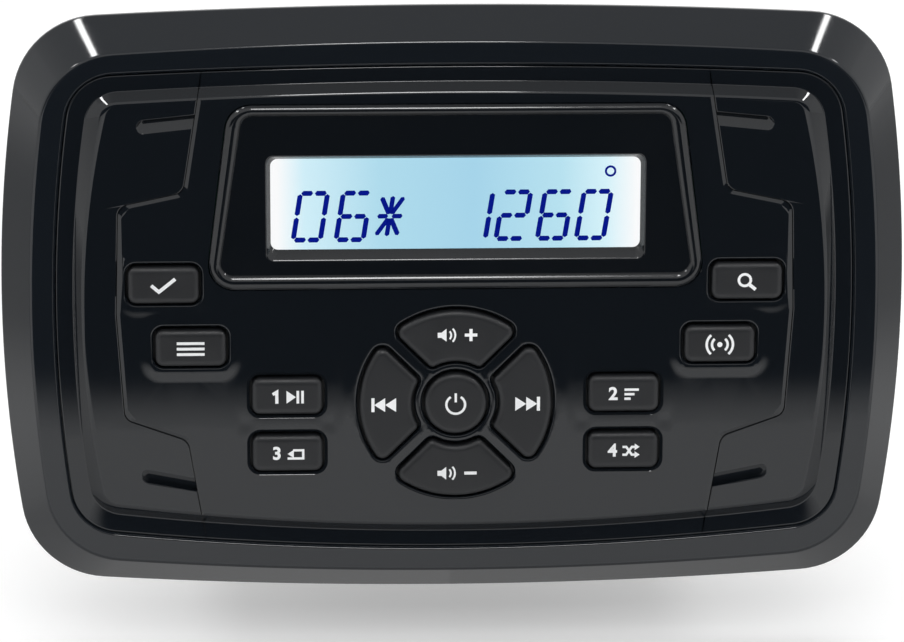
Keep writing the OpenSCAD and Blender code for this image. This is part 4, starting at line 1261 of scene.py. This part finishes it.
def add_screw(shape, at, seat, head_r, head_t, shank_r, length):
    """Pan-head screw with a cross recess, its head to the rear."""
    top = seat + head_t
    head = soft([(shank_r, seat - length, 0), (shank_r, seat, 0), (head_r, seat, 0.1),
                 (head_r, top - 0.45 * head_t, 0.2), (0.72 * head_r, top, 0.4 * head_t),
                 (0.62 * head_r, top, 0)], 4)
    tip, crown = lathe(shape, at, head, 32)
    crosses = [shape_at(plus_outline(Vector((w, l)), Vector((l, w))), at.x, at.y)
               for l, w in ((0.5 * head_r, 0.16 * head_r), (0.22 * head_r, 0.09 * head_r))]
    mouth, floor = shape.loft([(crosses[0], top), (crosses[1], top - 0.7 * head_t)])
    shape.cap(tip)
    shape.cap(crown, [mouth])
    shape.cap(floor)


def make_screws(name, node, places, *sizes):
    shape = Shape()
    for at in places:
        add_screw(shape, at, *sizes)
    shape.build(name, NICKEL, stands_for=[node])


def harness_outline(inset):
    r = max(0.9 - 0.4 * inset, 0.3)
    return box_outline(HARNESS.x - 2 * inset, HARNESS.y - 2 * inset, r, HARNESS_AT)


def make_harness():
    shape = Shape()
    front = corners("harness_socket")[0].y
    section = soft([(0, front, 0), (0, SOCKET_BACK, 0.35), (HARNESS_WALL, SOCKET_BACK, 0.35),
                    (HARNESS_WALL, COVER_FRONT, 0)], 4)
    shape.solid([(harness_outline(p.x), p.y) for p in section])
    top = HARNESS.y / 2
    floor = HARNESS_WALL - top
    inner_w = HARNESS.x - 2 * HARNESS_WALL
    ribs = [(x, 0.6, top - 0.2, top + 0.9, COVER_BACK + 0.6, SOCKET_BACK - 0.4, 0.15) for x in (-6, 6)]
    latch = (0, 3.2, top - 0.2, top + 0.8, SOCKET_BACK - 3, SOCKET_BACK - 0.6, 0.25)
    guides = [(share * inner_w, 0.5, floor - 0.1, floor + 0.8, COVER_FRONT, SOCKET_BACK - 0.8, 0.12)
              for share in (-0.32, 0.12, 0.36)]
    for x, half_w, low, high, *depths, edge in (*ribs, latch, *guides):
        soft_block(shape, HARNESS_AT + Vector((x - half_w, low)), HARNESS_AT + Vector((x + half_w, high)),
                   *depths, edge)
    shape.build("harness_shell", SOCKET_BLACK, stands_for=["harness_socket"])


def make_pins():
    shape = Shape()
    low, high = corners("harness_pins")
    half = PIN_HALF_W
    section = [(half, low.y), (half, high.y - 2 * half), (half / 2, high.y)]
    for column in range(PIN_COUNT):
        for row in (-1, 1):
            at = HARNESS_AT + Vector(((column - (PIN_COUNT - 1) / 2) * PIN_PITCH.x, row * PIN_PITCH.y / 2))
            shape.solid([(box_outline(2 * w, 2 * w, 0.08, at, 3), y) for w, y in section])
            soft_block(shape, (at.x - half, BOARD_TOP), (at.x + half, at.y), low.y, low.y + 2 * half, 0.08)
    shape.build("harness_contacts", GOLD, stands_for=["harness_pins"])


def make_antenna():
    shape = Shape()
    back, floor = SOCKET_BACK, SOCKET_BACK - ANTENNA_DEPTH
    base = floor - ANTENNA_FLOOR
    outer, r, pin_r = ANTENNA_OUTER_R, ANTENNA_R, ANTENNA_PIN_R
    neck = outer - 0.5
    section = soft([(outer, base, 0), (outer, back - 2.6, 0), (neck, back - 2.4, 0.1),
                    (neck, back - 1.6, 0.1), (outer, back - 1.4, 0.1), (outer, back, 0.45),
                    (r, back, 0.5), (r, floor, 0.3), (pin_r, floor, 0.2), (pin_r, floor - 1.4, 0)], 4)
    turned_solid(shape, ANTENNA_AT, section)
    soft_block(shape, (ANTENNA_AT.x - outer, BOARD_TOP), (ANTENNA_AT.x + outer, ANTENNA_AT.y + r),
               corners("antenna_socket")[0].y, base + 0.1, 0.3)
    shape.build("antenna_barrel", SOCKET_METAL, stands_for=["antenna_socket"])
    liner = Shape()
    wall, end, step = r - ANTENNA_LINER, back - 0.8, floor + 0.6
    edge, foot_y = r - LINER_GAP, floor + LINER_GAP
    section = soft([(edge, foot_y, 0), (edge, end, 0.15), (wall, end, 0.15), (wall, step, 0.3),
                    (pin_r, step, 0.2), (pin_r, foot_y, 0)], 4)
    foot, hole = lathe(liner, ANTENNA_AT, section)
    liner.cap(foot, [hole])
    liner.build("antenna_liner", SOCKET_BLACK)


def make_line_outs():
    shape = Shape()
    low, high = corners("line_out_sockets")
    back, shoulder = SOCKET_BACK, COVER_BACK + 0.2
    neck, r = LINE_OUT_R - 0.2, LINE_OUT_R
    hole_r, inner = LINE_OUT_HOLE_R, LINE_OUT_R - LINE_OUT_SHELL
    seat = back - 0.9
    barrel = soft([(neck, low.y + LINE_OUT_BLOCK, 0), (neck, shoulder, 0.05), (r, shoulder, 0.15),
                   (r, back, 0.3), (inner, back, 0.25), (inner, seat - 2, 0)], 4)
    insulator = soft([(inner - LINER_GAP, seat - 1.5, 0), (inner - LINER_GAP, seat, 0.2), (hole_r, seat, 0.3),
                      (hole_r, seat - 1.4, 0)], 4)
    for at, name, finish in zip(LINE_OUT_AT, ("left", "right"), (WHITE_PLASTIC, RED_PLASTIC)):
        turned_solid(shape, at, barrel)
        ring = Shape()
        turned_solid(ring, at, insulator)
        ring.build("line_out_insulator_" + name, finish)
    soft_block(shape, (low.x, BOARD_TOP), (high.x, high.z), low.y, low.y + LINE_OUT_BLOCK + 0.05, 0.3)
    shape.build("line_out_barrels", SOCKET_METAL, stands_for=["line_out_sockets"])


make_housing()
make_cover()
make_screws("cover_screw_set", "cover_screws", COVER_SCREWS, COVER_BACK, *COVER_SCREW)
make_screws("panel_screw_set", "panel_screws", PANEL_SCREWS, Y_COUNTERBORE, *PANEL_SCREW)
make_harness()
make_pins()
make_antenna()
make_line_outs()


# Pieces kept from the frame, each with the finish of its material
NODE_FINISH = {
    CLEAR: ("display_lens",),
    LCD_LIGHT: ("lcd_glass",),
    TIN: ("lcd_pins", "tuner_can"),
    WHITE_PLASTIC: ("lcd_frame",),
    GUIDE: ("light_guide", "backlight_leds"),
    KEY_RUBBER: ("keypad_sheet",),
    SEAL_RUBBER: ("housing_seal", "cover_seal", "thermal_pad"),
    BOARD_GREEN: ("key_board", "main_board"),
    BOARD_BLUE: ("wireless_module",),
    GOLD: ("key_contacts",),
    NICKEL: ("key_board_screws", "housing_screws", "main_board_screws"),
    IVORY: ("header_plug",),
    SOCKET_BLACK: ("header_socket", "fuse_holder", "amplifier_chip"),
    SLEEVE: ("capacitors",),
    COPPER: ("choke",),
    AMBER: ("blade_fuse",),
}
for material, nodes in NODE_FINISH.items():
    for node in nodes:
        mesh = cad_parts[node].data
        mesh.materials.clear()
        mesh.materials.append(material)


# Stage: pale floor, soft lights and cards that the gloss mirrors
FLOOR_Z = RIM_LOW.z - 10
DARK = 0.012
FRONT_STOPS = ((-1500, DARK), (-179, DARK), (-143, 1.0))
# The side cards are mid gray near the middle, under the object: a painted shadow there, seen only in
# reflections, that stands in for the floor's shade under the object.
SIDE_STOPS = ((0, 0.5), (90, 0.52), (165, 0.8), (270, 0.45), (480, 0.45), (1000, 0.85), (1500, 0.85))
SIDE_FADE = (-45, -5)
TOP_STOPS = ((-1200, 0.9), (-500, 0.7), (-200, 0.5), (200, 0.5), (500, 0.7), (1200, 0.9))
FLOOR_GLOW = 0.27
FLOOR_REACH = 3000
WORLD_LIGHT = 0.6

# Cards: half width of the front card, rear end of the side cards, ends and height of the top card
FRONT_HALF_W = 150
FRONT_LIFT = 0.6
SIDE_BACK = 1200
SIDE_LIFT = 0.4
RIGHT_SHARE = 0.88
TOP_Y = (-250, 900)
TOP_Z = 700

# Dark wall behind the camera
WALL_Y = -1100
WALL_HALF_W = 1500
WALL_TOP = 480

# Lamps aimed at the origin: name, place, size, power and whether they only show in the gloss
LAMPS = (
    ("left_box", (-255, 75, 575), (200, 45), 0.7, True),
    ("right_box", (300, 75, 575), (200, 45), 0.6, True),
    ("front_box", (6, -470, 640), (110, 165), 1.1, True),
    ("left_spark", (-532, -161, 597), (150, 60), 0.7, True),
    ("right_spark", (569, -133, 568), (150, 60), 0.7, True),
    ("front_fill", (0, -900, 700), (900, 500), 4, False),
    ("top_fill", (0, 100, 1200), (900, 900), 5, False),
)


def stage_plane(name, low, high, z, material):
    """Flat rectangle between two corners in X and Y."""
    mesh = bpy.data.meshes.new(name)
    points = ((low[0], low[1]), (high[0], low[1]), (high[0], high[1]), (low[0], high[1]))
    mesh.from_pydata([Vector((x, y, z)) * MM for x, y in points], [], [(0, 1, 2, 3)])
    plane = linked(name, mesh)
    mesh.materials.append(material)
    return plane


def seen_factor(tree):
    """1 for rays from the camera, from gloss and through glass."""
    path = tree.nodes.new("ShaderNodeLightPath")
    seen = path.outputs["Is Camera Ray"]
    for ray in ("Is Glossy Ray", "Is Transmission Ray"):
        either = tree.nodes.new("ShaderNodeMath")
        either.operation = "MAXIMUM"
        tree.links.new(seen, either.inputs[0])
        tree.links.new(path.outputs[ray], either.inputs[1])
        seen = either.outputs[0]
    return seen


def floor_material():
    finish = Finish("floor_white", (0.85, 0.85, 0.85), 0.9)
    finish.bump(finish.noise(400), 0.01, 0.3)
    finish.set("Emission Color", (1, 1, 1, 1))
    glow = ranged(finish.tree, seen_factor(finish.tree), 0, 1, 0, FLOOR_GLOW)
    finish.links.new(glow.outputs["Result"], finish.shader.inputs["Emission Strength"])
    return finish.material


def stage_wall(name, depth, low, high, material):
    """Upright rectangle between two corners in X and Z."""
    wall = stage_plane(name, low, high, 0, material)
    wall.data.transform(Matrix.Translation((0, depth * MM, 0)) @ Matrix.Rotation(math.pi / 2, 4, "X"))
    return wall


def card_material(name, level):
    """Card of one brightness."""
    material = bpy.data.materials.new(name)
    material.use_nodes = True
    nodes = material.node_tree.nodes
    nodes.clear()
    glow = nodes.new("ShaderNodeEmission")
    glow.inputs["Color"].default_value = (level, level, level, 1)
    out = nodes.new("ShaderNodeOutputMaterial")
    material.node_tree.links.new(glow.outputs["Emission"], out.inputs["Surface"])
    return material


def fading_card(name, axis, stops, fade=None):
    """Card whose brightness runs through (place, level) stops along one axis, and fades in along Y."""
    material = card_material(name, 1.0)
    tree = material.node_tree
    nodes, links = tree.nodes, tree.links
    split = nodes.new("ShaderNodeSeparateXYZ")
    links.new(nodes.new("ShaderNodeTexCoord").outputs["Object"], split.inputs["Vector"])
    first, last = stops[0][0], stops[-1][0]
    place = ranged(tree, split.outputs[axis], first * MM, last * MM)
    grays = [((at - first) / (last - first), (level, level, level)) for at, level in stops]
    ramp = colour_ramp(tree, place.outputs["Result"], grays)
    ramp.color_ramp.interpolation = "EASE"
    colour = ramp.outputs["Color"]
    if fade:
        share = ranged(tree, split.outputs["Y"], fade[0] * MM, fade[1] * MM)
        share.interpolation_type = "SMOOTHSTEP"
        mix = nodes.new("ShaderNodeMix")
        mix.data_type = "RGBA"
        mix.inputs["A"].default_value = (1, 1, 1, 1)
        links.new(share.outputs["Result"], mix.inputs["Factor"])
        links.new(colour, mix.inputs["B"])
        colour = mix.outputs["Result"]
    links.new(colour, nodes["Emission"].inputs["Color"])
    return material


def only_mirrored(card):
    """A card that shows in reflections and nowhere else."""
    card.visible_camera = False
    card.visible_diffuse = False
    card.visible_shadow = False
    card.visible_transmission = False


def soft_box(name, place, size, power, only_gloss):
    light = bpy.data.lights.new(name, "AREA")
    light.shape = "RECTANGLE"
    light.size, light.size_y = (side * MM for side in size)
    light.energy = power
    lamp = linked(name, light)
    lamp.location = Vector(place) * MM
    lamp.rotation_euler = (Vector() - Vector(place)).to_track_quat("-Z", "Y").to_euler()
    lamp.visible_glossy = only_gloss
    lamp.visible_diffuse = not only_gloss


def make_world():
    world = bpy.data.worlds.new("studio")
    bpy.context.scene.world = world
    world.use_nodes = True
    tree = world.node_tree
    background = tree.nodes["Background"]
    background.inputs["Color"].default_value = (1, 1, 1, 1)
    strength = ranged(tree, seen_factor(tree), 0, 1, WORLD_LIGHT, 1)
    tree.links.new(strength.outputs["Result"], background.inputs["Strength"])


def make_cards():
    front = fading_card("card_front", "Y", FRONT_STOPS)
    corner_pair = ((-FRONT_HALF_W, FRONT_STOPS[0][0]), (FRONT_HALF_W, FRONT_STOPS[-1][0]))
    only_mirrored(stage_plane("front_card", *corner_pair, FLOOR_Z + FRONT_LIFT, front))
    # The side cards' gray under the object is painted shade that only the gloss mirrors.
    for side, name, share in ((-1, "left_card", 1), (1, "right_card", RIGHT_SHARE)):
        stops = sorted((side * x, share * level) for x, level in SIDE_STOPS)
        card = fading_card(name, "X", stops, SIDE_FADE)
        corner_pair = ((stops[0][0], SIDE_FADE[0]), (stops[-1][0], SIDE_BACK))
        only_mirrored(stage_plane(name, *corner_pair, FLOOR_Z + SIDE_LIFT, card))
    top = fading_card("card_top", "X", TOP_STOPS)
    corner_pair = ((TOP_STOPS[0][0], TOP_Y[0]), (TOP_STOPS[-1][0], TOP_Y[1]))
    only_mirrored(stage_plane("top_card", *corner_pair, TOP_Z, top))
    dark = card_material("card_dark", DARK)
    only_mirrored(stage_wall("dark_wall", WALL_Y, (-WALL_HALF_W, FLOOR_Z), (WALL_HALF_W, WALL_TOP), dark))


stage_plane("floor", (-FLOOR_REACH, -FLOOR_REACH), (FLOOR_REACH, FLOOR_REACH), FLOOR_Z, floor_material())
make_cards()
for lamp in LAMPS:
    soft_box(*lamp)
make_world()

bpy.context.scene.view_settings.view_transform = "Standard"
